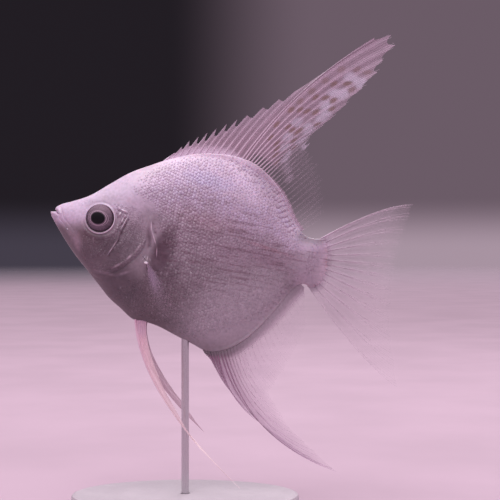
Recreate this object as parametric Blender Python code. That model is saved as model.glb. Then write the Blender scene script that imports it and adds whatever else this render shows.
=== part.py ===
"""A life-size display model of a freshwater angelfish on a plain stand, in metres.

The fish is drawn in its own frame: +X runs from the snout tip to the tail, +Z to the
back, and its left side faces -Y. Lengths there are shares of the standard length, which
runs from the snout tip to the root of the tail fin. An empty then tips the fish head up
and lifts it onto the stand, and the whole is centred over the floor at Z = 0.
"""

import math
from dataclasses import dataclass, field

import bmesh
import bpy
import numpy as np
from mathutils import Matrix, Vector

# Driving dimensions
STANDARD_LENGTH = 0.080  # snout tip to the root of the tail fin
HEAD_UP = math.radians(10.6)  # how far the body axis is tipped head up
SNOUT_HEIGHT = 0.0872  # snout tip above the floor
GAP = 0.0003  # clearance between neighbouring solids
RIDGE = 0.0003  # half thickness of the sharpest edge of the body

# Stand
BASE_LENGTH, BASE_WIDTH, BASE_THICKNESS = 0.066, 0.042, 0.006
BASE_BEVEL = 0.001
BASE_SIDES = 40
ROD_RADIUS = 0.0011
ROD_SIDES = 16
ROD_BEHIND_SNOUT = 0.0390  # along the floor
ROD_TOP = 0.0605  # above the floor, inside the belly
ROD_SINK = 0.003  # how deep the rod stands in the base

# Body outlines seen from the side: (x, z), both as shares of the standard length
BACK = (
    (0.000, 0.018), (0.016, 0.027), (0.034, 0.040), (0.063, 0.054), (0.130, 0.092), (0.193, 0.147),
    (0.257, 0.201), (0.322, 0.240), (0.400, 0.281), (0.493, 0.311), (0.566, 0.317),
    (0.641, 0.307), (0.727, 0.279), (0.817, 0.211), (0.882, 0.122), (0.925, 0.090),
    (0.965, 0.088), (1.000, 0.098),
)  # fmt: skip
BELLY = (
    (0.000, -0.004), (0.029, -0.040), (0.103, -0.122), (0.172, -0.184), (0.218, -0.225),
    (0.263, -0.265), (0.313, -0.297), (0.364, -0.328), (0.412, -0.330), (0.455, -0.336),
    (0.524, -0.356), (0.592, -0.374), (0.645, -0.387), (0.705, -0.370), (0.776, -0.314),
    (0.855, -0.204), (0.911, -0.112), (0.950, -0.078), (0.975, -0.073), (1.000, -0.082),
)  # fmt: skip
# Half width, and the level at which the body is widest
HALF_WIDTH = (
    (0.00, 0.013), (0.03, 0.031), (0.07, 0.047), (0.13, 0.070), (0.18, 0.084),
    (0.26, 0.094), (0.36, 0.096), (0.48, 0.091), (0.60, 0.081), (0.72, 0.063),
    (0.82, 0.045), (0.90, 0.034), (0.96, 0.027), (1.00, 0.022),
)  # fmt: skip
WIDEST_LEVEL = ((0.0, 0.003), (0.1, -0.012), (0.3, -0.035), (0.6, -0.015), (1.0, 0.006))
# How full the section stays towards the back and the belly: 0.5 is an ellipse, 1 a lens
BACK_TAPER = ((0.0, 0.55), (0.3, 0.66), (0.5, 0.88), (0.8, 0.95), (0.95, 0.7), (1.0, 0.6))
BELLY_TAPER = ((0.0, 0.6), (0.4, 0.58), (0.6, 0.62), (0.7, 0.9), (0.9, 0.9), (1.0, 0.6))
BACK_POWER, BELLY_POWER = 1.8, 2.1
STATIONS, ROWS = 29, 12  # body mesh: sections along it, and rows down each side

# Cuts between the parts of the body, as lines seen from the side
GILL_LINE = (
    (0.225, 0.230), (0.262, 0.140), (0.292, 0.085), (0.338, 0.060), (0.360, 0.010),
    (0.364, -0.038), (0.353, -0.077), (0.320, -0.120), (0.280, -0.157), (0.236, -0.178),
    (0.195, -0.181), (0.160, -0.178), (0.120, -0.190),
)  # fmt: skip
JAW_LINE = (
    (-0.020, 0.008), (0.008, 0.009), (0.019, 0.009), (0.034, 0.001), (0.062, -0.022),
    (0.100, -0.062), (0.140, -0.100), (0.150, -0.170),
)  # fmt: skip
STALK_LINE = ((0.915, 0.140), (0.895, 0.050), (0.890, 0.000), (0.895, -0.060), (0.920, -0.150))
# The mouth stands a little open: the lower lip reaches out past the upper one
UPPER_LIP = ((-0.020, 0.036), (0.010, 0.033), (0.014, 0.022))
GILL_COVER = (
    (0.272, 0.052), (0.300, 0.076), (0.400, 0.090), (0.400, -0.170), (0.300, -0.190),
    (0.236, -0.165), (0.214, -0.140), (0.232, -0.095), (0.252, -0.030), (0.262, 0.010),
)  # fmt: skip
GILL_COVER_FROM = 0.0046  # the covers begin this far from the middle plane

# Eyes
EYE_AT = (0.1887, 0.0640, 0.0137)
EYE_RADIUS, EYE_DEPTH = 0.0040, 0.0026
EYE_TURN = math.radians(11)  # each eye looks this far forwards of sideways

PALE, ROSE, CLEAR = (0.56, 0.44, 0.54), (0.72, 0.42, 0.50), (0.55, 0.42, 0.52)
IRIS, STEEL, STONE = (0.10, 0.07, 0.10), (0.62, 0.62, 0.64), (0.62, 0.60, 0.60)


def smooth_curve(knots):
    """Returns a function through knots of (position, value, ...), with rounded turns."""
    table = np.array(knots, float)
    at, values = table[:, 0], table[:, 1:]
    slopes = np.gradient(values, at, axis=0)

    def curve(position):
        x = np.clip(np.asarray(position, float), at[0], at[-1])
        i = np.clip(np.searchsorted(at, x, side="right") - 1, 0, len(at) - 2)
        span = (at[i + 1] - at[i])[..., None]
        u = (x[..., None] - at[i][..., None]) / span
        low, high = values[i], values[i + 1]
        found = (
            low * (2 * u**3 - 3 * u**2 + 1)
            + high * (3 * u**2 - 2 * u**3)
            + slopes[i] * span * (u**3 - 2 * u**2 + u)
            + slopes[i + 1] * span * (u**3 - u**2)
        )
        return found[..., 0] if found.shape[-1] == 1 else found

    return curve


back, belly = smooth_curve(BACK), smooth_curve(BELLY)
widest, level = smooth_curve(HALF_WIDTH), smooth_curve(WIDEST_LEVEL)
back_taper, belly_taper = smooth_curve(BACK_TAPER), smooth_curve(BELLY_TAPER)


def half_width(x, z):
    """How far the body reaches to each side at (x, z), in metres."""
    above = z > level(x)
    reach = np.where(
        above, (z - level(x)) / (back(x) - level(x)), (level(x) - z) / (level(x) - belly(x))
    )
    power = np.where(above, BACK_POWER, BELLY_POWER)
    taper = np.where(above, back_taper(x), belly_taper(x))
    share = (1 - np.clip(reach, 0, 1) ** power) ** taper
    return np.maximum(STANDARD_LENGTH * widest(x) * share, RIDGE)


def make_object(name, points, faces):
    """Links a mesh object whose faces all point outwards."""
    mesh = bpy.data.meshes.new(name)
    mesh.from_pydata([tuple(map(float, p)) for p in points], [], faces)
    work = bmesh.new()
    work.from_mesh(mesh)
    bmesh.ops.triangulate(work, faces=work.faces)
    bmesh.ops.recalc_face_normals(work, faces=work.faces)
    work.to_mesh(mesh)
    work.free()
    made = bpy.data.objects.new(name, mesh)
    bpy.context.scene.collection.objects.link(made)
    return made


def paint(obj, name, colour, roughness, metallic=0.0):
    """Gives obj its own material, and smooth shading with its sharp edges kept."""
    material = bpy.data.materials.new(name)
    material.use_nodes = True
    shader = material.node_tree.nodes["Principled BSDF"]
    shader.inputs["Base Color"].default_value = (*colour, 1.0)
    shader.inputs["Roughness"].default_value = roughness
    shader.inputs["Metallic"].default_value = metallic
    obj.data.materials.clear()
    obj.data.materials.append(material)
    obj.data.shade_smooth()
    obj.data.set_sharp_from_angle(angle=math.radians(35))


def prism(name, outline, near, far):
    """A plate with an outline seen from the side, in shares, from y = near to y = far."""
    flat = [Vector((x, 0, z)) * STANDARD_LENGTH for x, z in outline]
    count = len(flat)
    points = [p + Vector((0, y, 0)) for y in (near, far) for p in flat]
    sides = [(i, (i + 1) % count, count + (i + 1) % count, count + i) for i in range(count)]
    return make_object(name, points, [range(count), range(count, 2 * count), *sides])


def offset_line(line, distance):
    """The line moved sideways by a distance in metres, as shares."""
    points = np.array(line, float)
    along = np.gradient(points, axis=0)
    along /= np.linalg.norm(along, axis=1)[:, None]
    return points + np.stack([-along[:, 1], along[:, 0]], 1) * distance / STANDARD_LENGTH


def thin_wall(name, line, opening=()):
    """A cutter GAP thick that follows a smooth line seen from the side.

    An opening widens its start: the points on the upper side before the line's third.
    """
    across = 0.02
    numbered = [(i, *p) for i, p in enumerate(line)]
    fine = smooth_curve(numbered)(np.linspace(0, len(line) - 1, 2 * len(line) - 1))
    upper, lower = offset_line(fine, GAP / 2), offset_line(fine, -GAP / 2)
    start = [*opening, *upper[4:]] if opening else list(upper)
    return prism(name, [*start, *lower[::-1]], -across, across)


def cut(target, cutter, operation="DIFFERENCE"):
    """Applies a Boolean to target and removes the cutter."""
    modifier = target.modifiers.new("cut", "BOOLEAN")
    modifier.object, modifier.operation = cutter, operation
    bpy.context.view_layer.update()
    graph = bpy.context.evaluated_depsgraph_get()
    shaped = bpy.data.meshes.new_from_object(target.evaluated_get(graph))
    target.modifiers.clear()
    target.data = shaped
    bpy.data.objects.remove(cutter)


def split_loose(source, anchors):
    """Replaces source by its loose pieces, each named after the nearest anchor point."""
    work = bmesh.new()
    work.from_mesh(source.data)
    bpy.data.objects.remove(source)
    left = set(work.faces)
    made = {}
    while left:
        island, edge = set(), [left.pop()]
        while edge:
            face = edge.pop()
            island.add(face)
            near = {f for v in face.verts for f in v.link_faces} & left
            left -= near
            edge.extend(near)
        corners = list({v for f in island for v in f.verts})
        index = {v: i for i, v in enumerate(corners)}
        centre = sum((v.co for v in corners), Vector()) / len(corners)
        name = min(anchors, key=lambda n: (centre - Vector(anchors[n])).length)
        faces = [[index[v] for v in f.verts] for f in island]
        made[name] = make_object(name, [v.co for v in corners], faces)
    work.free()
    return made


def whole_body():
    """The body from lips to tail root, as rings of points round its sections."""
    stations = (1 - np.cos(np.linspace(0.12, math.pi, STATIONS))) / 2
    stations = (stations - stations[0]) / (1 - stations[0])
    angles = np.linspace(0, math.pi, ROWS + 1)
    points = []
    for x in stations:
        top, low, middle = back(x), belly(x), level(x)
        up = np.cos(angles)
        z = middle + np.where(up > 0, (top - middle) * up, (middle - low) * up)
        y = half_width(np.full_like(z, x), z)
        ring = [(x * STANDARD_LENGTH, -w, h * STANDARD_LENGTH) for w, h in zip(y, z)]
        ring += [(p[0], -p[1], p[2]) for p in reversed(ring)]
        points.extend(ring)
    size = 2 * (ROWS + 1)
    faces = [
        (s * size + i, s * size + (i + 1) % size, (s + 1) * size + (i + 1) % size, (s + 1) * size + i)
        for s in range(STATIONS - 1)
        for i in range(size)
    ]
    faces += [tuple(range(size)), tuple(range((STATIONS - 1) * size, STATIONS * size))]
    return make_object("body", points, faces)


def eye_shape(name, side, grow=0.0):
    """A flattened ball for one eye; grow makes it the socket's cutter."""
    mesh = bpy.data.meshes.new(name)
    work = bmesh.new()
    bmesh.ops.create_uvsphere(work, u_segments=16, v_segments=9, radius=1.0)
    work.to_mesh(mesh)
    work.free()
    mesh.transform(Matrix.Diagonal((EYE_RADIUS + grow, EYE_RADIUS + grow, EYE_DEPTH + grow, 1)))
    mesh.transform(Matrix.Rotation(math.pi / 2, 4, "X"))
    mesh.transform(Matrix.Rotation(side * EYE_TURN, 4, "Z"))
    at = Vector((EYE_AT[0], side * EYE_AT[1], EYE_AT[2])) * STANDARD_LENGTH
    mesh.transform(Matrix.Translation(at))
    made = bpy.data.objects.new(name, mesh)
    bpy.context.scene.collection.objects.link(made)
    return made


def gill_cover_tray(side):
    """The cutter that frees one gill cover: a tray GAP thick round its rim and under it."""
    near, far = side * (GILL_COVER_FROM - GAP), side * 0.02
    tray = prism("tray", GILL_COVER, near, far)
    centre = np.mean(GILL_COVER, axis=0)
    toward = np.array(GILL_COVER) - centre
    reach = np.linalg.norm(toward, axis=1)[:, None]
    inner = centre + toward * (1 - GAP / STANDARD_LENGTH / reach)
    cut(tray, prism("inside", inner, side * GILL_COVER_FROM, side * 0.03))
    return tray


def divided_body():
    """The body parted into jaw, head, gill covers, trunk and tail stalk."""
    body = whole_body()
    cut(body, thin_wall("gills", GILL_LINE))
    cut(body, thin_wall("jaw", JAW_LINE, UPPER_LIP))
    cut(body, thin_wall("stalk", STALK_LINE))
    middle = {"lower_jaw": (0.07, 0, -0.08), "head": (0.2, 0, 0), "trunk": (0.6, 0, 0)}
    middle["tail_stalk"] = (0.95, 0, 0)
    anchors = {n: Vector(p) * STANDARD_LENGTH for n, p in middle.items()}
    nodes = split_loose(body, anchors)
    head = nodes.pop("head")
    for side in (-1, 1):
        cut(head, eye_shape("socket", side, GAP))
        cut(head, gill_cover_tray(side))
    sides = {"head": (0.15, 0, 0), "gill_cover_left": (0.3, -0.09, -0.05)}
    sides["gill_cover_right"] = (0.3, 0.09, -0.05)
    nodes.update(split_loose(head, {n: Vector(p) * STANDARD_LENGTH for n, p in sides.items()}))
    for name, node in nodes.items():
        paint(node, name, PALE, 0.4)
    return list(nodes.values())


@dataclass
class Fin:
    """A fin as a plate ribbed by its rays. Curves take a ray's number, counted from the front.

    roots and tips hold (ray, x, z) in shares; the first `spines` rays are spines, whose
    points stand clear of the skin between them. bow holds (ray, share) of a ray's length
    by which its middle bends away from straight, towards the belly where it is positive.
    """

    name: str
    rays: int
    roots: tuple
    tips: tuple
    bow: tuple
    spines: int = 0
    rows: int = 5
    bend_at: float = 0.5  # how far along a ray it bends most
    notch: float = 0.005  # how far the edge draws in between soft rays
    spine_notch: float = 0.025
    root_half: float = 0.00042  # half thickness along a ray, at its root and tip
    tip_half: float = 0.00028
    skin_half: float = 0.00025  # half thickness between the rays
    root_y: tuple = ((0, 0.0), (1, 0.0))
    sway: tuple = ((0, 0.0), (1, 0.0))  # sideways travel from root to tip, per ray
    colour: tuple = CLEAR
    columns: list = field(default_factory=list)

    def ray(self, number, shares):
        """Points along one ray, in metres, and its length as a share."""
        root, tip = smooth_curve(self.roots)(number), np.array(self.tip(number))
        chord = tip - root
        across = np.array([chord[1], -chord[0]])
        middle = root + self.bend_at * chord + 2 * np.interp(number, *zip(*self.bow)) * across
        s = np.asarray(shares)[:, None]
        line = root * (1 - s) ** 2 + middle * 2 * s * (1 - s) + tip * s**2
        y = np.interp(number, *zip(*self.root_y)) + np.interp(number, *zip(*self.sway)) * s[:, 0] ** 1.6
        flat = np.stack([line[:, 0], y, line[:, 1]], 1) * STANDARD_LENGTH
        return flat, float(np.hypot(*chord))

    def tip(self, number):
        """Where a ray ends: straight between the stated tips."""
        table = np.array(self.tips)
        return [np.interp(number, table[:, 0], table[:, i]) for i in (1, 2)]

    def plan(self):
        """The columns of the plate: each ray, and the skin half way to the next one."""
        shares = np.linspace(0, 1, self.rows + 1)
        columns = []
        for number in range(self.rays):
            line, length = self.ray(number, shares)
            half = np.linspace(self.root_half, self.tip_half, len(shares))
            columns.append((line, half))
            if number == self.rays - 1:
                break
            _, next_length = self.ray(number + 1, shares)
            spiny = number < self.spines
            edge = self.spine_notch if spiny else self.notch
            if spiny:
                stop = min(length, next_length)
                ends = [max(0.3, (stop - edge) / size) for size in (length, next_length)]
            else:
                ends = [max(0.5, 1 - edge / size) for size in (length, next_length)]
            one, _ = self.ray(number, shares * min(1.0, ends[0]))
            other, _ = self.ray(number + 1, shares * min(1.0, ends[1]))
            columns.append(((one + other) / 2, np.full(len(shares), self.skin_half)))
        return columns

    def build(self):
        """The closed plate, thickened to each side of the columns."""
        columns = self.plan()
        lines = np.array([line for line, _ in columns])
        halves = np.array([half for _, half in columns])
        across, along = np.gradient(lines, axis=0), np.gradient(lines, axis=1)
        normal = np.cross(across, along)
        normal /= np.linalg.norm(normal, axis=2)[..., None]
        shape = lines.shape[:2]
        sheets = [(lines + way * normal * halves[..., None]).reshape(-1, 3) for way in (1, -1)]
        number = np.arange(2 * shape[0] * shape[1]).reshape(2, *shape)
        faces = []
        for sheet in number:
            for i in range(shape[0] - 1):
                for j in range(shape[1] - 1):
                    faces.append((sheet[i, j], sheet[i + 1, j], sheet[i + 1, j + 1], sheet[i, j + 1]))
        rim = [(i, 0) for i in range(shape[0])] + [(shape[0] - 1, j) for j in range(1, shape[1])]
        rim += [(i, shape[1] - 1) for i in range(shape[0] - 2, -1, -1)]
        rim += [(0, j) for j in range(shape[1] - 2, 0, -1)]
        for (a, b), (c, d) in zip(rim, rim[1:] + rim[:1]):
            faces.append((number[0, a, b], number[0, c, d], number[1, c, d], number[1, a, b]))
        made = make_object(self.name, np.concatenate(sheets), [tuple(map(int, f)) for f in faces])
        paint(made, self.name, self.colour, 0.35)
        return made


def along_outline(curve, start, turn, end, spines, rays, clear):
    """Root points of a fin that stands clear of a body outline by `clear`, in shares."""
    last = rays - 1
    xs = np.interp(np.arange(rays), (0, spines, last), (start, turn, end))
    return tuple((i, x, float(curve(x)) + clear) for i, x in enumerate(xs))


ROOT_CLEARANCE = (GAP + 0.0001) / STANDARD_LENGTH
DORSAL_SPINES, DORSAL_RAYS = 12, 34
ANAL_SPINES, ANAL_RAYS = 6, 30

DORSAL_FIN = Fin(
    name="dorsal_fin",
    rays=DORSAL_RAYS,
    spines=DORSAL_SPINES,
    roots=along_outline(back, 0.378, 0.640, 0.905, DORSAL_SPINES, DORSAL_RAYS, ROOT_CLEARANCE),
    tips=(
        (0, 0.390, 0.288), (2, 0.424, 0.330), (5, 0.518, 0.396), (8, 0.626, 0.468),
        (11, 0.777, 0.584), (12, 1.041, 0.843), (13, 1.095, 0.867), (14, 1.126, 0.836),
        (16, 1.081, 0.747), (18, 1.005, 0.622), (20, 0.907, 0.497), (22, 0.893, 0.440),
        (26, 0.950, 0.350), (29, 0.972, 0.268), (33, 0.935, 0.110),
    ),
    bow=((0, 0.0), (11, -0.03), (13, -0.07), (22, -0.05), (33, 0.0)),
    sway=((0, 0.0), (11, 0.006), (13, 0.020), (22, 0.006), (33, 0.0)),
)  # fmt: skip
ANAL_FIN = Fin(
    name="anal_fin",
    rays=ANAL_RAYS,
    spines=ANAL_SPINES,
    roots=along_outline(belly, 0.637, 0.695, 0.938, ANAL_SPINES, ANAL_RAYS, -ROOT_CLEARANCE),
    tips=(
        (0, 0.652, -0.405), (1, 0.683, -0.428), (3, 0.760, -0.515), (5, 0.872, -0.602),
        (6, 1.065, -0.680), (7, 1.191, -0.722), (8, 1.150, -0.673), (10, 1.033, -0.604),
        (13, 0.925, -0.508), (17, 0.946, -0.430), (21, 0.975, -0.335), (25, 0.996, -0.235),
        (29, 0.955, -0.098),
    ),
    bow=((0, 0.03), (5, 0.10), (7, 0.14), (13, 0.10), (20, 0.05), (29, 0.0)),
    spine_notch=0.01,
    sway=((0, 0.0), (5, -0.01), (7, -0.035), (13, -0.01), (29, 0.0)),
)  # fmt: skip
TAIL_FIN = Fin(
    name="tail_fin",
    rays=16,
    rows=6,
    roots=((0, 1.005, 0.094), (5, 1.005, 0.036), (10, 1.005, -0.023), (15, 1.005, -0.080)),
    tips=(
        (0, 1.291, 0.275), (1, 1.289, 0.240), (3, 1.276, 0.158), (5, 1.267, 0.078),
        (8, 1.268, -0.022), (11, 1.283, -0.135), (13, 1.310, -0.243), (15, 1.361, -0.396),
    ),
    bow=((0, -0.05), (5, 0.0), (10, 0.0), (15, 0.05)),
    notch=0.008,
    root_half=0.0007,
    sway=((0, 0.035), (15, 0.05)),
)  # fmt: skip


def pelvic_fin(name, side, tips, splay):
    """A pelvic fin: a narrow ribbon that runs out into a thread along its leading ray."""
    roots = ((0, 0.368, -0.338), (5, 0.416, -0.338))
    return Fin(
        name=name,
        rays=6,
        rows=10,
        roots=roots,
        tips=tips,
        bow=((0, 0.11), (2, 0.10), (5, 0.05)),
        bend_at=0.32,
        notch=0.0,
        root_y=((0, side * 0.016), (5, side * 0.022)),
        sway=((0, side * splay), (5, side * splay * 0.6)),
        colour=ROSE,
    )


def pectoral_fin(name, side):
    """A pectoral fin: a soft fan folded back along the flank behind the gill cover."""
    last = 9
    roots = ((0, 0.376, -0.080), (last, 0.392, -0.124))
    surface = [float(half_width(x, z)) / STANDARD_LENGTH + 0.009 for _, x, z in roots]
    return Fin(
        name=name,
        rays=last + 1,
        rows=4,
        roots=roots,
        tips=((0, 0.505, -0.215), (2, 0.513, -0.262), (4, 0.500, -0.297), (6, 0.473, -0.309),
              (last, 0.430, -0.265)),
        bow=((0, 0.0), (last, 0.03)),
        notch=0.006,
        root_half=0.0004,
        root_y=((0, side * surface[0]), (last, side * surface[1])),
        sway=((0, side * 0.045), (last, side * 0.03)),
    )  # fmt: skip


LEFT_PELVIC_TIPS = (
    (0, 0.856, -0.840), (1, 0.740, -0.762), (2, 0.665, -0.690), (3, 0.600, -0.620),
    (4, 0.545, -0.555), (5, 0.485, -0.470),
)  # fmt: skip
RIGHT_PELVIC_TIPS = (
    (0, 0.705, -0.685), (1, 0.670, -0.650), (2, 0.630, -0.605), (3, 0.585, -0.555),
    (4, 0.540, -0.500), (5, 0.480, -0.430),
)  # fmt: skip


def stand():
    """An oval base, and the rod that holds the fish by its belly."""
    mesh = bpy.data.meshes.new("stand_base")
    work = bmesh.new()
    bmesh.ops.create_cone(
        work, segments=BASE_SIDES, radius1=0.5, radius2=0.5, depth=BASE_THICKNESS, cap_ends=True
    )
    work.to_mesh(mesh)
    work.free()
    mesh.transform(Matrix.Diagonal((BASE_LENGTH, BASE_WIDTH, 1, 1)))
    base = bpy.data.objects.new("stand_base", mesh)
    base.location.z = BASE_THICKNESS / 2
    bpy.context.scene.collection.objects.link(base)
    bevel = base.modifiers.new("edge", "BEVEL")
    bevel.width, bevel.segments, bevel.limit_method = BASE_BEVEL, 2, "ANGLE"
    paint(base, "stand_base", STONE, 0.5)

    foot = BASE_THICKNESS - ROD_SINK
    rod = cylinder("stand_rod", ROD_RADIUS, foot, ROD_TOP)
    hole = cylinder("foot_hole", ROD_RADIUS + GAP, foot - GAP, BASE_THICKNESS + GAP)
    paint(rod, "stand_rod", STEEL, 0.25, 1.0)
    bore = base.modifiers.new("foot", "BOOLEAN")
    bore.object = hole
    hide(hole)
    return base, rod, hole


def cylinder(name, radius, low, high):
    """An upright cylinder over the origin, between two heights."""
    mesh = bpy.data.meshes.new(name)
    work = bmesh.new()
    bmesh.ops.create_cone(
        work, segments=ROD_SIDES, radius1=radius, radius2=radius, depth=high - low, cap_ends=True
    )
    work.to_mesh(mesh)
    work.free()
    made = bpy.data.objects.new(name, mesh)
    made.location.z = (low + high) / 2
    bpy.context.scene.collection.objects.link(made)
    return made


def hide(cutter):
    """Marks a cutter as no part of the model."""
    cutter.hide_render = True
    cutter.display_type = "WIRE"


def frame_empty(name, location, children, turn=0.0):
    """An empty that carries its children, which were modelled about the origin."""
    empty = bpy.data.objects.new(name, None)
    bpy.context.scene.collection.objects.link(empty)
    empty.location = location
    empty.rotation_euler.y = turn
    for child in children:
        child.parent = empty
    return empty


def centre(frames):
    """Moves the frames so that the box round the whole model is centred over the origin."""
    bpy.context.view_layer.update()
    graph = bpy.context.evaluated_depsgraph_get()
    corners = []
    for obj in bpy.context.scene.objects:
        if obj.type == "MESH" and not obj.hide_render:
            shaped = obj.evaluated_get(graph)
            corners += [shaped.matrix_world @ v.co for v in shaped.data.vertices]
    box = np.array(corners)
    middle = (box.min(axis=0) + box.max(axis=0)) / 2
    for frame in frames:
        frame.location.x -= middle[0]
        frame.location.y -= middle[1]


def main():
    for obj in list(bpy.data.objects):
        bpy.data.objects.remove(obj)
    fish = divided_body()
    for side, name in ((-1, "left"), (1, "right")):
        eye = eye_shape(f"eye_{name}", side)
        paint(eye, f"eye_{name}", IRIS, 0.1)
        fish.append(eye)
        fish.append(pectoral_fin(f"pectoral_fin_{name}", side).build())
    fish += [fin.build() for fin in (DORSAL_FIN, ANAL_FIN, TAIL_FIN)]
    fish.append(pelvic_fin("pelvic_fin_left", -1, LEFT_PELVIC_TIPS, 0.06).build())
    fish.append(pelvic_fin("pelvic_fin_right", 1, RIGHT_PELVIC_TIPS, 0.15).build())
    fish_frame = frame_empty("fish_frame", (0, 0, SNOUT_HEIGHT), fish, HEAD_UP)

    base, rod, hole = stand()
    socket = cylinder("rod_socket", ROD_RADIUS + GAP, SNOUT_HEIGHT / 2, ROD_TOP + GAP)
    hide(socket)
    stand_frame = frame_empty("stand_frame", (ROD_BEHIND_SNOUT, 0, 0), (base, rod, hole, socket))
    trunk = bpy.data.objects["trunk"]
    plug = trunk.modifiers.new("rod", "BOOLEAN")
    plug.object = socket
    centre((fish_frame, stand_frame))


main()
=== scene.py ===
"""Dresses the freshwater angelfish and its stand: scaled skin, wet eyes and clear, rayed fins.

Sizes of the fish are in millimetres in its own frame: x runs from the snout tip to the
tail, z to the back, and the left side has negative y. FishFrame takes them to the scene.
"""

import logging
import math
from collections.abc import Callable, Iterable, Sequence
from dataclasses import dataclass, field
from enum import Enum
from functools import reduce

import bpy
import numpy as np
from mathutils import Matrix, Vector


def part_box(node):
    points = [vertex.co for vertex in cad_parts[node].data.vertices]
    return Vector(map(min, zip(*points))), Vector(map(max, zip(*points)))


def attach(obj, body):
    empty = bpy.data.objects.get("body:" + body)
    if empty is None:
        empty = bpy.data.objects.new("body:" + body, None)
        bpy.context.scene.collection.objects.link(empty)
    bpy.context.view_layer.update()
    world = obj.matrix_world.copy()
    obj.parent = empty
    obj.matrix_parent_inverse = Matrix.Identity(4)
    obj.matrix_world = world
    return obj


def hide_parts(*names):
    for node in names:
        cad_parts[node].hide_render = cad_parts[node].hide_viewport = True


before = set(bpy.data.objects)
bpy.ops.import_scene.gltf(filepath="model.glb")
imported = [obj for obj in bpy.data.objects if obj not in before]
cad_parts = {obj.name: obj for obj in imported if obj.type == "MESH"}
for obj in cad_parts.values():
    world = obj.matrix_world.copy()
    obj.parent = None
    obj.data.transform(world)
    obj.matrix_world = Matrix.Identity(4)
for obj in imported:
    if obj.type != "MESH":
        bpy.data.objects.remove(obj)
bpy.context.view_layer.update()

LOG = logging.getLogger("angelfish")

Array = np.ndarray
Curve = Callable[[Array], Array]
Line = Sequence[Sequence[float]]
Socket = bpy.types.NodeSocket
Colour = tuple[float, float, float]

METRES = 0.001
BODY_LENGTH = 80.0
HEAD_UP = math.radians(10.6)
EYE_CENTRE = (15.096, 5.12, 1.096)
EYE_RADIUS, EYE_DEPTH, EYE_TURN = 4.0, 2.6, math.radians(11)
RAY_SIDES = 6  # corners of a fin ray's section
THROUGH = 1e6  # depth of a patch of colour that passes right through the body
RAYS_IN_MAP, MILLIMETRES_IN_MAP = 40.0, 100.0  # what 1 stands for in a fin's ray_map

# Outlines and thickness of the body, as shares of its length, close to the solids' own
BACK = (
    (0.0, 0.018), (0.016, 0.027), (0.034, 0.04), (0.063, 0.054), (0.13, 0.092),
    (0.193, 0.147), (0.257, 0.201), (0.322, 0.24), (0.4, 0.281), (0.493, 0.311),
    (0.566, 0.317), (0.641, 0.307), (0.727, 0.279), (0.817, 0.211), (0.882, 0.122),
    (0.925, 0.09), (0.965, 0.088), (1.0, 0.098), (1.06, 0.137),
)
BELLY = (
    (0.0, -0.004), (0.029, -0.04), (0.103, -0.122), (0.172, -0.184), (0.218, -0.225),
    (0.263, -0.265), (0.313, -0.297), (0.364, -0.328), (0.412, -0.33), (0.455, -0.336),
    (0.524, -0.356), (0.592, -0.374), (0.645, -0.387), (0.705, -0.37), (0.776, -0.314),
    (0.855, -0.204), (0.905, -0.117), (0.925, -0.092), (0.945, -0.083), (0.971, -0.09),
    (1.0, -0.114), (1.06, -0.168),
)
HALF_WIDTH = (
    (0.0, 0.013), (0.03, 0.031), (0.07, 0.047), (0.13, 0.07), (0.18, 0.084),
    (0.26, 0.094), (0.36, 0.096), (0.48, 0.091), (0.6, 0.081), (0.72, 0.063),
    (0.82, 0.045), (0.9, 0.034), (0.96, 0.027), (1.0, 0.022), (1.06, 0.016),
)
WIDEST_LEVEL = ((0.0, 0.003), (0.1, -0.012), (0.3, -0.035), (0.6, -0.015), (1.0, 0.006), (1.06, 0.006))
BACK_TAPER = ((0.0, 0.55), (0.3, 0.66), (0.5, 0.88), (0.8, 0.95), (0.95, 0.7), (1.06, 0.6))
BELLY_TAPER = ((0.0, 0.6), (0.4, 0.58), (0.6, 0.62), (0.7, 0.9), (0.9, 0.9), (1.06, 0.6))
BACK_POWER, BELLY_POWER = 1.8, 2.1

# How far the scaly sheaths of the two long fins rise from the body, in millimetres, by x
BACK_SHEATH = ((0, 0), (38, 0), (44, 0.4), (50, 1.2), (56, 1.5), (61, 1.1), (66, 0.6), (73, 0), (90, 0))
BELLY_SHEATH = ((0, 0), (51, 0), (56, 0.3), (62, 0.7), (68, 0.6), (74, 0.2), (78, 0), (90, 0))

# Lines over the head and the shoulder, and the pectoral fin's root, in millimetres
MOUTH_LINE = ((-0.4, 1.02), (1.3, 0.98), (2.1, 0.55), (2.9, -0.25))
GILL_EDGE = (
    (22.9, 6.6), (25.3, 6.5), (27.0, 4.8), (28.3, 2.7), (29.1, -0.1), (29.1, -3.1),
    (28.2, -6.2), (25.6, -9.6), (22.4, -12.6), (18.9, -14.4), (15.6, -14.3), (12.6, -13.2),
)
GIRDLE = ((28.6, 6.6), (29.4, 2.7), (31.5, -1.6), (33.3, -5.5), (33.5, -9.0))
CHEEK_BONE = ((14.0, -11.6), (19.0, -9.4), (21.4, -3.6), (23.3, 3.5))
PECTORAL_ROOT = (30.6, -8.8)


# ---------------------------------------------------------------- numbers and meshes


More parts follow.
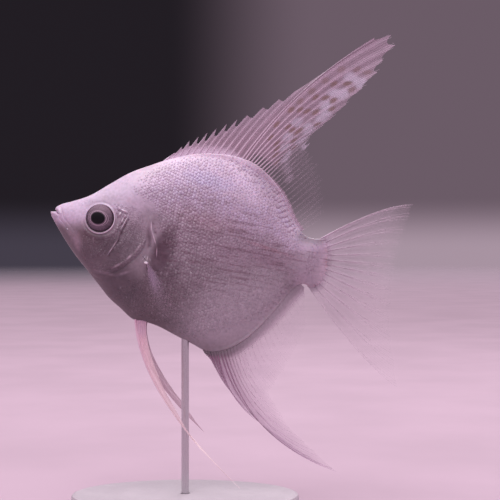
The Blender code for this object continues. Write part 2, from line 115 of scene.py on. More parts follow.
def curve_through(knots: Iterable[Sequence[float]]) -> Curve:
    """Makes a smooth function through knots.

    Args:
        knots: (position, value, ...) in rising order of position.

    Returns:
        A function of an array of positions.
    """
    table = np.array(list(knots), float)
    at, values = table[:, 0], table[:, 1:]
    slopes = np.gradient(values, at, axis=0)

    def curve(position: Array) -> Array:
        """Reads the curve at every position.

        Args:
            position: where to read it.

        Returns:
            The values there.
        """
        x = np.clip(np.asarray(position, float), at[0], at[-1])
        i = np.clip(np.searchsorted(at, x, side="right") - 1, 0, len(at) - 2)
        span = (at[i + 1] - at[i])[..., None]
        u = (x[..., None] - at[i][..., None]) / span
        found = (
            values[i] * (2 * u**3 - 3 * u**2 + 1)
            + values[i + 1] * (3 * u**2 - 2 * u**3)
            + slopes[i] * span * (u**3 - 2 * u**2 + u)
            + slopes[i + 1] * span * (u**3 - u**2)
        )
        return found[..., 0] if found.shape[-1] == 1 else found

    return curve


def straight(knots: Iterable[Sequence[float]]) -> Curve:
    """Makes a function that runs straight from knot to knot.

    Args:
        knots: (position, value) or (position, value, value).

    Returns:
        A function of an array of positions.
    """
    table = np.array(list(knots), float)

    def curve(position: Array) -> Array:
        """Reads the curve at every position."""
        found = [np.interp(position, table[:, 0], column) for column in table[:, 1:].T]
        return found[0] if len(found) == 1 else np.stack(found, -1)

    return curve


def smoothstep(low: float, high: float, value: Array) -> Array:
    """Rises smoothly from 0 at low to 1 at high, or falls where low is above high."""
    share = np.clip((np.asarray(value, float) - low) / (high - low), 0, 1)
    return share * share * (3 - 2 * share)


def round_line(points: Line, steps: int = 6) -> Array:
    """Rounds a line by reading a smooth curve through its points."""
    numbered = curve_through([(i, *p) for i, p in enumerate(points)])
    return numbered(np.linspace(0, len(points) - 1, (len(points) - 1) * steps + 1))


def nearest_on_line(x: Array, z: Array, line: Array) -> tuple[Array, Array, Array]:
    """Finds the nearest place on a line for every point.

    Args:
        x: positions along the body.
        z: positions up the body.
        line: the line's corners.

    Returns:
        The distance, the share of the line's length there, and the side, +1 to its left.
    """
    best = np.full(np.shape(x), np.inf)
    along, side = np.zeros_like(best), np.ones_like(best)
    lengths = np.linalg.norm(np.diff(line, axis=0), axis=1)
    passed = np.concatenate([[0], np.cumsum(lengths)])
    for i, length in enumerate(lengths):
        (ax, az), (bx, bz) = line[i], line[i + 1]
        dx, dz = (bx - ax) / length, (bz - az) / length
        travel = np.clip((x - ax) * dx + (z - az) * dz, 0, length)
        away = np.hypot(x - ax - travel * dx, z - az - travel * dz)
        nearer = away < best
        best = np.where(nearer, away, best)
        along = np.where(nearer, (passed[i] + travel) / passed[-1], along)
        side = np.where(nearer, np.sign(dx * (z - az) - dz * (x - ax)), side)
    return best, along, side


def make_mesh(name: str, points: Array, faces: Sequence[Array]) -> bpy.types.Object:
    """Links a smooth-shaded mesh object.

    Args:
        name: the piece's name.
        points: its corners, in metres in the scene.
        faces: arrays of faces, each with the same number of corners.

    Returns:
        The object.
    """
    mesh = bpy.data.meshes.new(name)
    mesh.vertices.add(len(points))
    mesh.vertices.foreach_set("co", np.asarray(points, np.float32).ravel())
    corners = np.concatenate([np.asarray(f, np.int32).ravel() for f in faces])
    sizes = np.concatenate([np.full(len(f), np.shape(f)[1]) for f in faces])
    mesh.loops.add(len(corners))
    mesh.loops.foreach_set("vertex_index", corners)
    mesh.polygons.add(len(sizes))
    starts = np.concatenate([[0], np.cumsum(sizes)[:-1]]).astype(np.int32)
    mesh.polygons.foreach_set("loop_start", starts)
    mesh.update(calc_edges=True)
    mesh.validate()
    mesh.shade_smooth()
    made = bpy.data.objects.new(name, mesh)
    bpy.context.scene.collection.objects.link(made)
    return made


def add_map(piece: bpy.types.Object, name: str, values: Array) -> None:
    """Gives a mesh a UV map from one (u, v) for each of its points.

    Args:
        piece: the mesh object.
        name: the map's name.
        values: (u, v) for each point of the mesh.
    """
    mesh = piece.data
    corner = np.empty(len(mesh.loops), np.int32)
    mesh.loops.foreach_get("vertex_index", corner)
    layer = mesh.uv_layers.new(name=name, do_init=False)
    layer.uv.foreach_set("vector", np.asarray(values, np.float32)[corner].ravel())


def grid_faces(columns: int, rows: int, wrap: bool = False) -> Array:
    """Quads over points numbered column by column; wrap joins each column's ends.

    Args:
        columns: how many columns there are.
        rows: how many points each has.
        wrap: whether each column's ends are joined.

    Returns:
        The faces, four corners each.
    """
    i, j = np.meshgrid(np.arange(columns - 1), np.arange(rows if wrap else rows - 1), indexing="ij")
    k = (j + 1) % rows
    quads = np.stack([i * rows + j, (i + 1) * rows + j, (i + 1) * rows + k, i * rows + k], -1)
    return quads.reshape(-1, 4)


def tubes(name: str, paths: Sequence[Array], radii: Sequence[Array],
          across: Sequence[Array]) -> bpy.types.Object:
    """Builds many tapered rods as one mesh.

    Args:
        name: the piece's name.
        paths: the middle line of each rod, in metres.
        radii: the radius at each point of each line, in metres.
        across: for each point of each line, a direction that the section is set square to.

    Returns:
        The object.
    """
    points, quads, ends, count = [], [], [], 0
    turn = np.linspace(0, 2 * math.pi, RAY_SIDES, endpoint=False)
    for path, radius, square in zip(paths, radii, across):
        along = np.gradient(path, axis=0)
        along /= np.linalg.norm(along, axis=1)[:, None]
        wide = np.cross(along, square)
        wide /= np.linalg.norm(wide, axis=1)[:, None]
        thick = np.cross(wide, along)
        ring = np.cos(turn)[None, :, None] * wide[:, None] + np.sin(turn)[None, :, None] * thick[:, None]
        points.append((path[:, None] + ring * radius[:, None, None]).reshape(-1, 3))
        quads.append(grid_faces(len(path), RAY_SIDES, wrap=True) + count)
        last = count + (len(path) - 1) * RAY_SIDES
        ends.append(np.stack([np.arange(RAY_SIDES)[::-1] + count, np.arange(RAY_SIDES) + last]))
        count += len(path) * RAY_SIDES
    return make_mesh(name, np.concatenate(points), [np.concatenate(quads), np.concatenate(ends)])


def put_on(piece: bpy.types.Object, slot: str, material: bpy.types.Material, *stands_for: str) -> None:
    """Finishes a piece: its material, its body and the solids that it replaces.

    Args:
        piece: the mesh object.
        slot: the slot it belongs to; not used.
        material: its finish.
        stands_for: the solids it replaces.
    """
    piece.data.materials.clear()
    piece.data.materials.append(material)
    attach(piece, "root")
    if stands_for:
        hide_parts(*stands_for)
    LOG.info("%s: %d faces", piece.name, len(piece.data.polygons))


# ---------------------------------------------------------------- where the fish is


@dataclass(frozen=True)
class FishFrame:
    """Takes millimetres in the fish's own frame to metres in the scene."""

    origin: tuple[float, float, float]

    @classmethod
    def from_solids(cls) -> "FishFrame":
        """Finds the snout tip from where the left eye's solid is.

        Returns:
            The frame.
        """
        low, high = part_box("eye_left")
        middle = (low + high) / 2
        eye = Vector((EYE_CENTRE[0], -EYE_CENTRE[1], EYE_CENTRE[2]))
        return cls(tuple(middle - Matrix.Rotation(HEAD_UP, 3, "Y") @ eye * METRES))

    def place(self, points: Array) -> Array:
        """Gives the scene position of every point.

        Args:
            points: places in the fish's frame, in millimetres.

        Returns:
            The same places, in metres.
        """
        points = np.asarray(points, float) * METRES
        x, y, z = points[..., 0], points[..., 1], points[..., 2]
        cos, sin = math.cos(HEAD_UP), math.sin(HEAD_UP)
        return np.stack([x * cos + z * sin, y, z * cos - x * sin], -1) + np.array(self.origin)

    def turn(self, directions: Array) -> Array:
        """Gives the scene direction of every direction."""
        return (self.place(directions) - np.array(self.origin)) / METRES


class Side(Enum):
    """The two sides of the fish, and the sign of y there."""

    LEFT = -1
    RIGHT = 1

    @property
    def word(self) -> str:
        """The side's name in lower case, as the solids' names end."""
        return self.name.lower()


# ---------------------------------------------------------------- shader tools


class NodeTree:
    """Lays nodes in one shader tree and links them."""

    def __init__(self, tree: bpy.types.NodeTree) -> None:
        """Starts on an existing tree."""
        self.tree = tree

    def add(self, kind: str, inputs: dict[str | int, object] | None = None,
            **settings: object) -> bpy.types.Node:
        """Adds a node.

        Args:
            kind: the node's type name after "ShaderNode".
            inputs: what goes to its sockets, numbers or other nodes' outputs.
            settings: the node's own properties.

        Returns:
            The node.
        """
        node = self.tree.nodes.new(f"ShaderNode{kind}")
        for key, value in settings.items():
            setattr(node, key, value)
        for key, value in (inputs or {}).items():
            self.feed(node.inputs[key], value)
        return node

    def feed(self, socket: Socket, value: object) -> None:
        """Links an output to a socket, or sets the socket to a constant.

        Args:
            socket: the input.
            value: an output, a number, a colour or a vector.
        """
        if isinstance(value, bpy.types.NodeSocket):
            self.tree.links.new(value, socket)
        elif socket.type == "RGBA" and len(value) == 3:
            socket.default_value = (*value, 1.0)
        else:
            socket.default_value = value

    def math(self, operation: str, *values: object, clamp: bool = False) -> Socket:
        """Gives the result of one sum."""
        return self.add("Math", dict(enumerate(values)), operation=operation, use_clamp=clamp).outputs[0]

    def times(self, *values: object) -> Socket:
        """Multiplies values."""
        return reduce(lambda one, other: self.math("MULTIPLY", one, other), values)

    def plus(self, one: object, other: object) -> Socket:
        """Adds two values."""
        return self.math("ADD", one, other)

    def minus(self, one: object, other: object) -> Socket:
        """Takes the other value from the one."""
        return self.math("SUBTRACT", one, other)

    def hypot(self, wide: Socket, high: Socket) -> Socket:
        """Gives the length of a pair of values."""
        return self.math("SQRT", self.plus(self.times(wide, wide), self.times(high, high)))

    def scaled(self, value: Socket, factor: object) -> Socket:
        """Multiplies a vector or a colour by a number."""
        return self.add("VectorMath", {0: value, "Scale": factor}, operation="SCALE").outputs["Vector"]

    def vector(self, operation: str, *values: object) -> Socket:
        """Gives the result of one vector sum.

        Args:
            operation: the sum's name.
            values: what goes into it.

        Returns:
            Its vector, or its number where that is what it gives.
        """
        node = self.add("VectorMath", dict(enumerate(values)), operation=operation)
        scalar = operation in ("LENGTH", "DISTANCE", "DOT_PRODUCT")
        return node.outputs["Value" if scalar else "Vector"]

    def remap(self, value: Socket, low: float, high: float, to_low: float = 0.0,
              to_high: float = 1.0) -> Socket:
        """Maps a value smoothly from one range to another."""
        sockets = {"Value": value, "From Min": low, "From Max": high, "To Min": to_low, "To Max": to_high}
        return self.add("MapRange", sockets, interpolation_type="SMOOTHSTEP").outputs["Result"]

    def mix(self, share: object, first: object, second: object, blend: str = "MIX") -> Socket:
        """Mixes two colours.

        Args:
            share: how much of the second.
            first: a colour.
            second: a colour.
            blend: how they are joined.

        Returns:
            The mixed colour.
        """
        node = self.add("Mix", data_type="RGBA", blend_type=blend)
        for socket, value in ((node.inputs[0], share), (node.inputs[6], first), (node.inputs[7], second)):
            self.feed(socket, value)
        return node.outputs[2]

    def ramp(self, value: Socket, stops: Sequence[tuple[float, Colour]]) -> Socket:
        """Reads a colour ramp.

        Args:
            value: what to read it at.
            stops: (position, colour) in rising order.

        Returns:
            The colour there.
        """
        node = self.add("ValToRGB", {0: value})
        ramp = node.color_ramp
        ramp.interpolation = "EASE"
        while len(ramp.elements) < len(stops):
            ramp.elements.new(0.5)
        for element, (at, colour) in zip(ramp.elements, stops):
            element.position = at
            element.color = (*colour, 1.0)
        return node.outputs["Color"]

    def curve(self, value: Socket, points: Sequence[tuple[float, float]]) -> Socket:
        """Reads a curve through points, from 0 to 1 both ways.

        Args:
            value: what to read it at.
            points: (position, height) in rising order.

        Returns:
            The height there.
        """
        node = self.add("FloatCurve", {"Value": value})
        line = node.mapping.curves[0]
        while len(line.points) < len(points):
            line.points.new(0.5, 0.5)
        for point, place in zip(line.points, points):
            point.location = place
            point.handle_type = "AUTO_CLAMPED"
        node.mapping.update()
        return node.outputs[0]

    def noise(self, point: Socket, scale: float, detail: float = 2.0, roughness: float = 0.5) -> Socket:
        """Reads a noise texture."""
        sockets = {"Vector": point, "Scale": scale, "Detail": detail, "Roughness": roughness}
        return self.add("TexNoise", sockets).outputs["Fac"]

    def bump(self, height: Socket, distance: float, strength: float = 1.0) -> Socket:
        """Turns a height into a normal."""
        return self.add("Bump", {"Height": height, "Distance": distance, "Strength": strength}).outputs[0]

    def map(self, name: str) -> tuple[Socket, Socket]:
        """Reads the two values of a UV map.

        Args:
            name: the map's name.

        Returns:
            Its u and v.
        """
        read = self.add("UVMap", uv_map=name).outputs[0]
        split = self.add("SeparateXYZ", {0: read})
        return split.outputs[0], split.outputs[1]

    def use(self, group: bpy.types.NodeTree, inputs: dict[str, object]) -> bpy.types.Node:
        """Places a node group.

        Args:
            group: the group.
            inputs: what goes to its inputs.

        Returns:
            The node.
        """
        node = self.tree.nodes.new("ShaderNodeGroup")
        node.node_tree = group
        for key, value in inputs.items():
            self.feed(node.inputs[key], value)
        return node


class Group(NodeTree):
    """A shader node group with named inputs and outputs."""

    def __init__(self, name: str, inputs: dict[str, object], outputs: dict[str, str]) -> None:
        """Makes the group.

        Args:
            name: the group's name.
            inputs: each input's default, a number, or three for a vector.
            outputs: each output's kind, "Float", "Color" or "Vector".
        """
        super().__init__(bpy.data.node_groups.new(name, "ShaderNodeTree"))
        for key, default in inputs.items():
            kind = "NodeSocketFloat" if isinstance(default, float) else "NodeSocketVector"
            made = self.tree.interface.new_socket(key, in_out="INPUT", socket_type=kind)
            made.default_value = default
        for key, kind in outputs.items():
            self.tree.interface.new_socket(key, in_out="OUTPUT", socket_type=f"NodeSocket{kind}")
        self.given = self.tree.nodes.new("NodeGroupInput").outputs
        self.result = self.tree.nodes.new("NodeGroupOutput").inputs


def new_material(name: str, **constants: object) -> tuple[bpy.types.Material, NodeTree, bpy.types.Node]:
    """Starts a material.

    Args:
        name: its name.
        constants: Principled sockets that are the same all over, with _ for a space.

    Returns:
        The material, its tree and its Principled node.
    """
    material = bpy.data.materials.new(name)
    material.use_nodes = True
    tree = NodeTree(material.node_tree)
    shader = material.node_tree.nodes["Principled BSDF"]
    for key, value in constants.items():
        tree.feed(shader.inputs[key.replace("_", " ")], value)
    return material, tree, shader


class SharedEffects:
    """The node groups that several finishes use, each built once."""

    def __init__(self, place: FishFrame) -> None:
        """Builds the groups for a fish at one place.

        Args:
            place: where the fish is.
        """
        self.place = place
        self.patch = self.soft_patch()
        self.mottle = self.fine_mottle()
        self.body = self.body_markings_and_painted_light()
        self.ribs = self.ray_ribs()
        self.mark = self.fin_mark()

    @staticmethod
    def soft_patch() -> bpy.types.NodeTree:
        """An oval patch with a soft edge, round a point in the fish's frame.

        Returns:
            The group, which gives a mask.
        """
        centre, zero = (0.0, 0.0, 0.0), 0.0
        inputs = {"Point": centre, "Centre": centre, "Radii": (1.0, 1.0, 1.0), "Turn": zero, "Core": 0.2}
        group = Group("soft_patch", inputs, {"Mask": "Float"})
        away = group.vector("SUBTRACT", group.given["Point"], group.given["Centre"])
        turned = group.add("VectorRotate", {"Vector": away, "Angle": group.given["Turn"]},
                           rotation_type="Y_AXIS").outputs[0]
        reach = group.vector("LENGTH", group.vector("DIVIDE", turned, group.given["Radii"]))
        group.feed(group.result["Mask"], group.remap(reach, 1.0, group.given["Core"]))
        return group.tree

    @staticmethod
    def fine_mottle() -> bpy.types.NodeTree:
        """Uneven tone at two scales, and the height of fine grain.

        Returns:
            The group, which gives a tone round 1 and a height.
        """
        inputs = {"Point": (0.0, 0.0, 0.0), "Coarse": 260.0, "Fine": 1800.0, "Amount": 0.12}
        group = Group("fine_mottle", inputs, {"Tone": "Float", "Height": "Float"})
        point = group.given["Point"]
        coarse = group.add("TexNoise", {"Vector": point, "Scale": group.given["Coarse"], "Detail": 3.0})
        fine = group.add("TexNoise", {"Vector": point, "Scale": group.given["Fine"], "Detail": 2.0})
        both = group.plus(coarse.outputs[0], group.times(fine.outputs[0], 0.6))
        uneven = group.times(group.minus(both, 0.8), group.times(group.given["Amount"], 2.0))
        group.feed(group.result["Tone"], group.plus(uneven, 1.0))
        group.feed(group.result["Height"], fine.outputs[0])
        return group.tree

    def body_markings_and_painted_light(self) -> bpy.types.NodeTree:
        """The colours of the body, the same for the skin and for the scales over it, with painted light and
        shade in them: a paler back over a darker belly, highlights on wet edges, shade behind the gill cover
        and a painted sheen.

        Returns:
            The group, which gives the colour, and how much painted pearly sheen there is.
        """
        group = Group("body_markings_and_painted_light", {"Point": (0.0, 0.0, 0.0)}, {"Colour": "Color", "Pearl": "Float"})
        moved = group.vector("SUBTRACT", group.given["Point"], self.place.origin)
        level = group.add("VectorRotate", {"Vector": moved, "Angle": -HEAD_UP},
                          rotation_type="Y_AXIS").outputs[0]
        point = group.scaled(level, 1 / METRES)
        split = group.add("SeparateXYZ", {0: point})
        x, z = split.outputs[0], split.outputs[2]
        share_x = group.math("DIVIDE", x, BODY_LENGTH)
        top = group.curve(share_x, [(min(a, 1.0), b + 0.5) for a, b in BACK[:-1]])
        low = group.curve(share_x, [(min(a, 1.0), b + 0.5) for a, b in BELLY[:-1]])
        height = group.plus(group.math("DIVIDE", z, BODY_LENGTH), 0.5)
        share = group.math("DIVIDE", group.minus(height, low), group.minus(top, low),
                           clamp=True)
        wander = group.times(group.minus(group.noise(point, 0.12, 3.0), 0.5), 0.1)
        share = group.math("ADD", share, wander, clamp=True)
        # belly-to-back tones, with painted shade below and painted light above
        colour = group.ramp(share, BODY_TONES_AND_TOP_LIGHT)
        for patch in BODY_PATCHES:
            node = group.use(self.patch, {
                "Point": point, "Centre": (patch.x, 0.0, patch.z), "Radii": (patch.long, THROUGH, patch.high),
                "Turn": math.radians(patch.turn), "Core": patch.core,
            })
            ragged = group.remap(group.noise(point, patch.grain, 3.0), 0.25, 0.6, patch.hold, 1.0)
            colour = group.mix(group.times(node.outputs[0], ragged, patch.strength), colour, patch.colour)
        lines = group.noise(group.vector("MULTIPLY", point, (0.1, 0.0, 1.15)), 1.0, 3.0, 0.6)
        flank = group.times(group.remap(x, 29.0, 40.0), group.remap(share, 0.22, 0.42),
                            group.remap(share, 0.86, 0.66))
        streaks = group.times(group.remap(lines, 0.5, 0.62), flank, 0.54)
        colour = group.mix(streaks, colour, (0.17, 0.088, 0.124))
        blots = group.noise(point, 0.42, 4.0, 0.62)
        colour = group.mix(group.remap(blots, 0.56, 0.78, 0.0, 0.28), colour, (0.15, 0.095, 0.125))
        colour = group.scaled(colour, group.remap(group.noise(point, 1.3, 3.0), 0.3, 0.7, 0.9, 1.06))
        # painted highlight on the rim of skin round the eye
        colour = group.mix(self.eye_ring(group, point, x, z), colour, (0.8, 0.64, 0.78))
        group.feed(group.result["Colour"], colour)
        # where the painted pearly sheen lies: the upper flank behind the head
        upper_rear = group.times(group.remap(share, 0.55, 0.85), group.remap(x, 22.0, 34.0))
        group.feed(group.result["Pearl"], upper_rear)
        return group.tree

    def eye_ring(self, group: Group, point: Socket, x: Socket, z: Socket) -> Socket:
        """The painted highlight on the thin rim of skin round the eye, brightest below and behind it.

        Args:
            group: the group to build it in.
            point: the place, in the fish's frame.
            x: its position along the body.
            z: its height.

        Returns:
            How much of the painted highlight shows.
        """
        middle = (EYE_CENTRE[0], 0.0, EYE_CENTRE[2])
        outer, inner = (
            group.use(self.patch, {"Point": point, "Centre": middle, "Radii": (half, THROUGH, half),
                                   "Turn": 0.0, "Core": core}).outputs[0]
            for half, core in ((4.52, 0.94), (4.28, 0.94))
        )
        ring = group.math("SUBTRACT", outer, inner, clamp=True)
        lean = group.minus(group.times(group.minus(x, EYE_CENTRE[0]), 0.7),
                          group.times(group.minus(z, EYE_CENTRE[2]), 0.55))
        return group.times(ring, group.remap(lean, -2.5, 3.0, 0.15, 0.95))

    @staticmethod
    def ray_ribs() -> bpy.types.NodeTree:
        """Fine lines along a fin: each bony ray, and the hair lines of the skin between.

        Returns:
            The group, which gives the strength of both kinds of line.
        """
        inputs = {"Ray": 0.0, "Lines": 4.0, "Sharpness": 6.0}
        group = Group("ray_ribs", inputs, {"Rib": "Float", "Hair": "Float"})
        full = 2 * math.pi

        def wave(per_ray: object) -> Socket:
            """A wave with so many crests for each ray, from 0 to 1."""
            turns = group.times(group.times(group.given["Ray"], per_ray), full)
            return group.math("MULTIPLY_ADD", group.math("COSINE", turns), 0.5, 0.5)

        group.feed(group.result["Rib"], group.math("POWER", wave(1.0), group.given["Sharpness"]))
        group.feed(group.result["Hair"], wave(group.given["Lines"]))
        return group.tree

    @staticmethod
    def fin_mark() -> bpy.types.NodeTree:
        """A soft oval on a fin, round a place given by a ray's number and millimetres along it.

        Returns:
            The group, which gives a mask.
        """
        inputs = {"Number": 0.0, "Distance": 0.0, "At Number": 0.0, "At Distance": 0.0, "Wide": 0.4,
                  "Long": 1.0, "Core": 0.35}
        group = Group("fin_mark", inputs, {"Mask": "Float"})
        given = group.given
        aside = group.math("DIVIDE", group.minus(given["Number"], given["At Number"]), given["Wide"])
        ahead = group.math("DIVIDE", group.minus(given["Distance"], given["At Distance"]), given["Long"])
        group.feed(group.result["Mask"], group.remap(group.hypot(aside, ahead), 1.0, given["Core"]))
        return group.tree


@dataclass(frozen=True)
class Patch:
    """A soft oval of colour on the body, in the fish's frame."""

    x: float
    z: float
    long: float
    high: float
    colour: Colour
    strength: float = 0.6
    turn: float = 0.0  # degrees
    core: float = 0.2  # share of the oval at full strength
    grain: float = 0.5  # scale of the noise that breaks it up
    hold: float = 0.5  # how much of it stays where the grain is thinnest


# Colours from the belly (0) to the back (1): darker towards the belly and paler towards the back, which is
# painted shade under the body and painted light on the back, as from a lamp above
BODY_TONES_AND_TOP_LIGHT = (
    (0.0, (0.11, 0.072, 0.09)), (0.18, (0.155, 0.106, 0.13)),
    (0.38, (0.274, 0.208, 0.25)), (0.58, (0.335, 0.24, 0.304)),
    (0.76, (0.48, 0.35, 0.468)), (0.9, (0.76, 0.585, 0.75)), (1.0, (0.78, 0.61, 0.76)),
)
# painted highlight colour for wet strokes and ridges, and a dark colour used for painted shade in grooves, in
# the slit and behind the gill cover
PAINTED_HIGHLIGHT, DARK_AND_SHADE = (0.86, 0.68, 0.82), (0.085, 0.042, 0.066)
# Patches over the body tones: the fish's own markings, and painted light and shade where the comments below
# say so
BODY_PATCHES = (
    Patch(61.0, -18.0, 28.0, 16.0, (0.43, 0.35, 0.412), 0.9, turn=28, core=0.3, hold=0.9),
    Patch(66.0, 19.0, 20.0, 11.0, (0.43, 0.31, 0.41), 0.85, turn=-50, core=0.45, hold=0.9),
    Patch(79.0, -3.0, 10.0, 9.0, (0.45, 0.345, 0.43), 0.8, core=0.4, hold=0.9),
    Patch(76.0, 7.0, 8.0, 3.4, (0.23, 0.17, 0.22), 0.9, turn=6, core=0.3, hold=0.9),
    Patch(5.0, 2.2, 11.0, 6.0, (0.62, 0.465, 0.63), 0.85, turn=14, core=0.45, hold=0.85),
    Patch(17.0, 9.0, 14.0, 6.5, (0.61, 0.485, 0.63), 0.8, turn=35, core=0.3, hold=0.85),
    Patch(26.0, 17.0, 9.0, 4.0, (0.62, 0.48, 0.59), 0.7, turn=30, core=0.2),
    Patch(16.5, 6.9, 5.5, 2.2, (0.44, 0.34, 0.44), 0.6, turn=14, core=0.2, hold=0.8),
    Patch(17.5, -9.0, 12.0, 9.5, (0.105, 0.064, 0.086), 0.85, turn=-25, core=0.4, hold=0.75),
    Patch(12.0, -4.6, 5.8, 3.0, (0.125, 0.068, 0.085), 0.8, turn=-12, core=0.2),
    Patch(18.5, -5.6, 7.0, 3.6, (0.09, 0.053, 0.075), 0.55, core=0.2),
    Patch(17.6, -12.4, 4.6, 1.9, (0.175, 0.12, 0.15), 0.55, turn=-10, core=0.2),
    Patch(24.4, -2.2, 7.0, 5.8, (0.105, 0.066, 0.09), 0.68, turn=-10, core=0.2),
    Patch(30.0, 4.4, 5.5, 3.6, (0.21, 0.145, 0.188), 0.45, core=0.2),
    Patch(25.4, -16.4, 9.5, 6.6, (0.068, 0.042, 0.06), 0.72, turn=-30, core=0.3, hold=0.7),
    # the darker band behind the gill cover: partly the fish's own colour, partly painted shadow of the cover;
    # the narrowest patch is painted shade in the slit under the cover's edge
    Patch(37.0, -11.0, 4.8, 8.0, DARK_AND_SHADE, 0.6, turn=-10, hold=0.6),
    Patch(34.4, -5.4, 4.2, 11.5, DARK_AND_SHADE, 1.0, turn=-12, core=0.3, hold=0.75),
    Patch(33.4, -2.8, 1.9, 5.5, DARK_AND_SHADE, 0.65, turn=-14, core=0.2, hold=0.7),
    Patch(30.0, -1.8, 1.0, 4.6, DARK_AND_SHADE, 0.75, turn=14, core=0.1),
    Patch(45.0, 6.0, 16.0, 4.0, (0.38, 0.215, 0.27), 0.35, turn=-6),
    Patch(64.5, -1.3, 9.0, 3.4, (0.29, 0.185, 0.25), 0.55, turn=-15, core=0.3),
    Patch(63.5, 1.6, 11.5, 0.8, (0.36, 0.16, 0.215), 0.4, turn=-8),
    # painted highlight along the upper edge of the tail stalk
    Patch(80.0, 8.6, 4.2, 1.5, (0.76, 0.59, 0.73), 0.75, turn=26, core=0.2, hold=0.9),
    # painted light on the thin end of the skin, offsetting the shade where it meets the tail fin
    Patch(82.0, 0.0, 4.2, 10.0, (0.54, 0.41, 0.51), 0.85, core=0.3, hold=0.9),
    Patch(11.6, 5.0, 4.4, 1.9, (0.42, 0.31, 0.42), 0.55, turn=14, core=0.2, hold=0.9),
    Patch(25.4, -6.6, 4.2, 3.6, (0.1, 0.062, 0.085), 0.4, core=0.2),
    # painted bluish iridescent sheen on the upper flank
    Patch(44.0, 17.6, 12.0, 3.6, (0.52, 0.46, 0.69), 0.5, turn=-3),
    Patch(8.8, -5.4, 5.0, 2.2, (0.4, 0.27, 0.345), 0.5, turn=-48, hold=0.4),
    Patch(9.9, -8.0, 2.2, 1.1, (0.46, 0.3, 0.37), 0.3, turn=-50, hold=0.3),
    # the next two are painted highlights along the lower edge of the gill cover
    Patch(19.0, -13.9, 4.8, 0.75, (0.31, 0.222, 0.275), 0.55, turn=-3, core=0.1),
    Patch(24.8, -12.9, 3.2, 0.65, (0.33, 0.24, 0.3), 0.55, turn=28, core=0.1),
    Patch(13.5, -6.5, 4.0, 3.0, (0.12, 0.072, 0.096), 0.45, turn=-30),
    # painted highlights along the rear edge of the gill cover
    Patch(27.5, -5.1, 0.5, 2.4, (0.52, 0.38, 0.46), 0.65, turn=-27, core=0.1),
    Patch(25.4, -8.2, 0.5, 2.2, (0.52, 0.38, 0.46), 0.7, turn=-36, core=0.1),
    Patch(22.4, -11.2, 0.5, 2.6, (0.46, 0.33, 0.4), 0.6, turn=-50, core=0.1),
    # painted glint on the wet root of the pectoral fin, with painted highlight streaks above it
    Patch(30.5, -8.85, 0.75, 0.42, (0.98, 0.9, 0.98), 0.95, core=0.5, hold=1.0),
    Patch(29.6, -7.6, 0.2, 0.9, PAINTED_HIGHLIGHT, 0.6, turn=-25, hold=0.8),
    Patch(30.6, -7.4, 0.18, 0.9, PAINTED_HIGHLIGHT, 0.5, hold=0.8),
    Patch(31.4, -7.8, 0.16, 0.7, PAINTED_HIGHLIGHT, 0.4, turn=18, hold=0.8),
    # painted highlights on the wet folds behind the eye and on the cheek bone's edge, with painted shade in
    # the grooves beside them
    Patch(21.1, 4.65, 1.9, 0.2, PAINTED_HIGHLIGHT, 0.85, turn=-15, hold=0.7),
    Patch(20.5, 3.4, 0.22, 0.85, (0.98, 0.88, 0.96), 0.9, turn=-24, hold=1.0),
    Patch(21.6, 1.9, 0.17, 1.9, PAINTED_HIGHLIGHT, 0.7, turn=-17, hold=0.7),
    Patch(22.3, 1.2, 0.17, 2.6, PAINTED_HIGHLIGHT, 0.8, turn=-17, hold=0.6),
    Patch(22.8, 0.9, 0.17, 2.8, DARK_AND_SHADE, 0.65, turn=-17, hold=0.6),
    Patch(20.3, -6.3, 0.18, 3.6, PAINTED_HIGHLIGHT, 0.7, turn=-24, hold=0.5),
    Patch(20.85, -6.4, 0.17, 3.4, DARK_AND_SHADE, 0.55, turn=-24, hold=0.5),
    # painted highlights along the ridge of the girdle behind the gill cover
    Patch(31.4, -1.6, 0.2, 2.6, PAINTED_HIGHLIGHT, 0.65, turn=28, hold=0.5),
    Patch(30.0, 1.6, 0.2, 1.8, PAINTED_HIGHLIGHT, 0.65, turn=10, hold=0.6),
    Patch(32.9, -5.4, 0.2, 1.8, PAINTED_HIGHLIGHT, 0.55, turn=8, hold=0.6),
    # painted glint on a pore of the lower jaw
    Patch(6.15, -3.55, 0.3, 0.24, (0.98, 0.9, 0.98), 0.9, core=0.4, hold=1.0),
)


# ---------------------------------------------------------------- finishes


@dataclass(frozen=True)
class SkinFinish:
    """Wet, pearly fish skin."""

    effects: SharedEffects
    name: str = "fish_skin"
    roughness: float = 0.42
    grain: float = 0.00004  # depth of the finest relief, metres

    def make(self) -> bpy.types.Material:
        """Builds the material.

        Returns:
            The material.
        """
        material, tree, shader = new_material(
            self.name, Coat_Weight=0.25, Coat_Roughness=0.25, Subsurface_Weight=0.08, Subsurface_Scale=0.002,
        )
        point = tree.add("TexCoord").outputs["Object"]
        marks = tree.use(self.effects.body, {"Point": point})
        mottle = tree.use(self.effects.mottle, {"Point": point, "Amount": 0.1})
        tree.feed(shader.inputs["Base Color"], tree.scaled(marks.outputs["Colour"], mottle.outputs["Tone"]))
        rough = tree.remap(mottle.outputs["Height"], 0.3, 0.7, self.roughness - 0.06, self.roughness + 0.08)
        tree.feed(shader.inputs["Roughness"], rough)
        tree.feed(shader.inputs["Normal"], tree.bump(mottle.outputs["Height"], self.grain, 0.5))
        return material


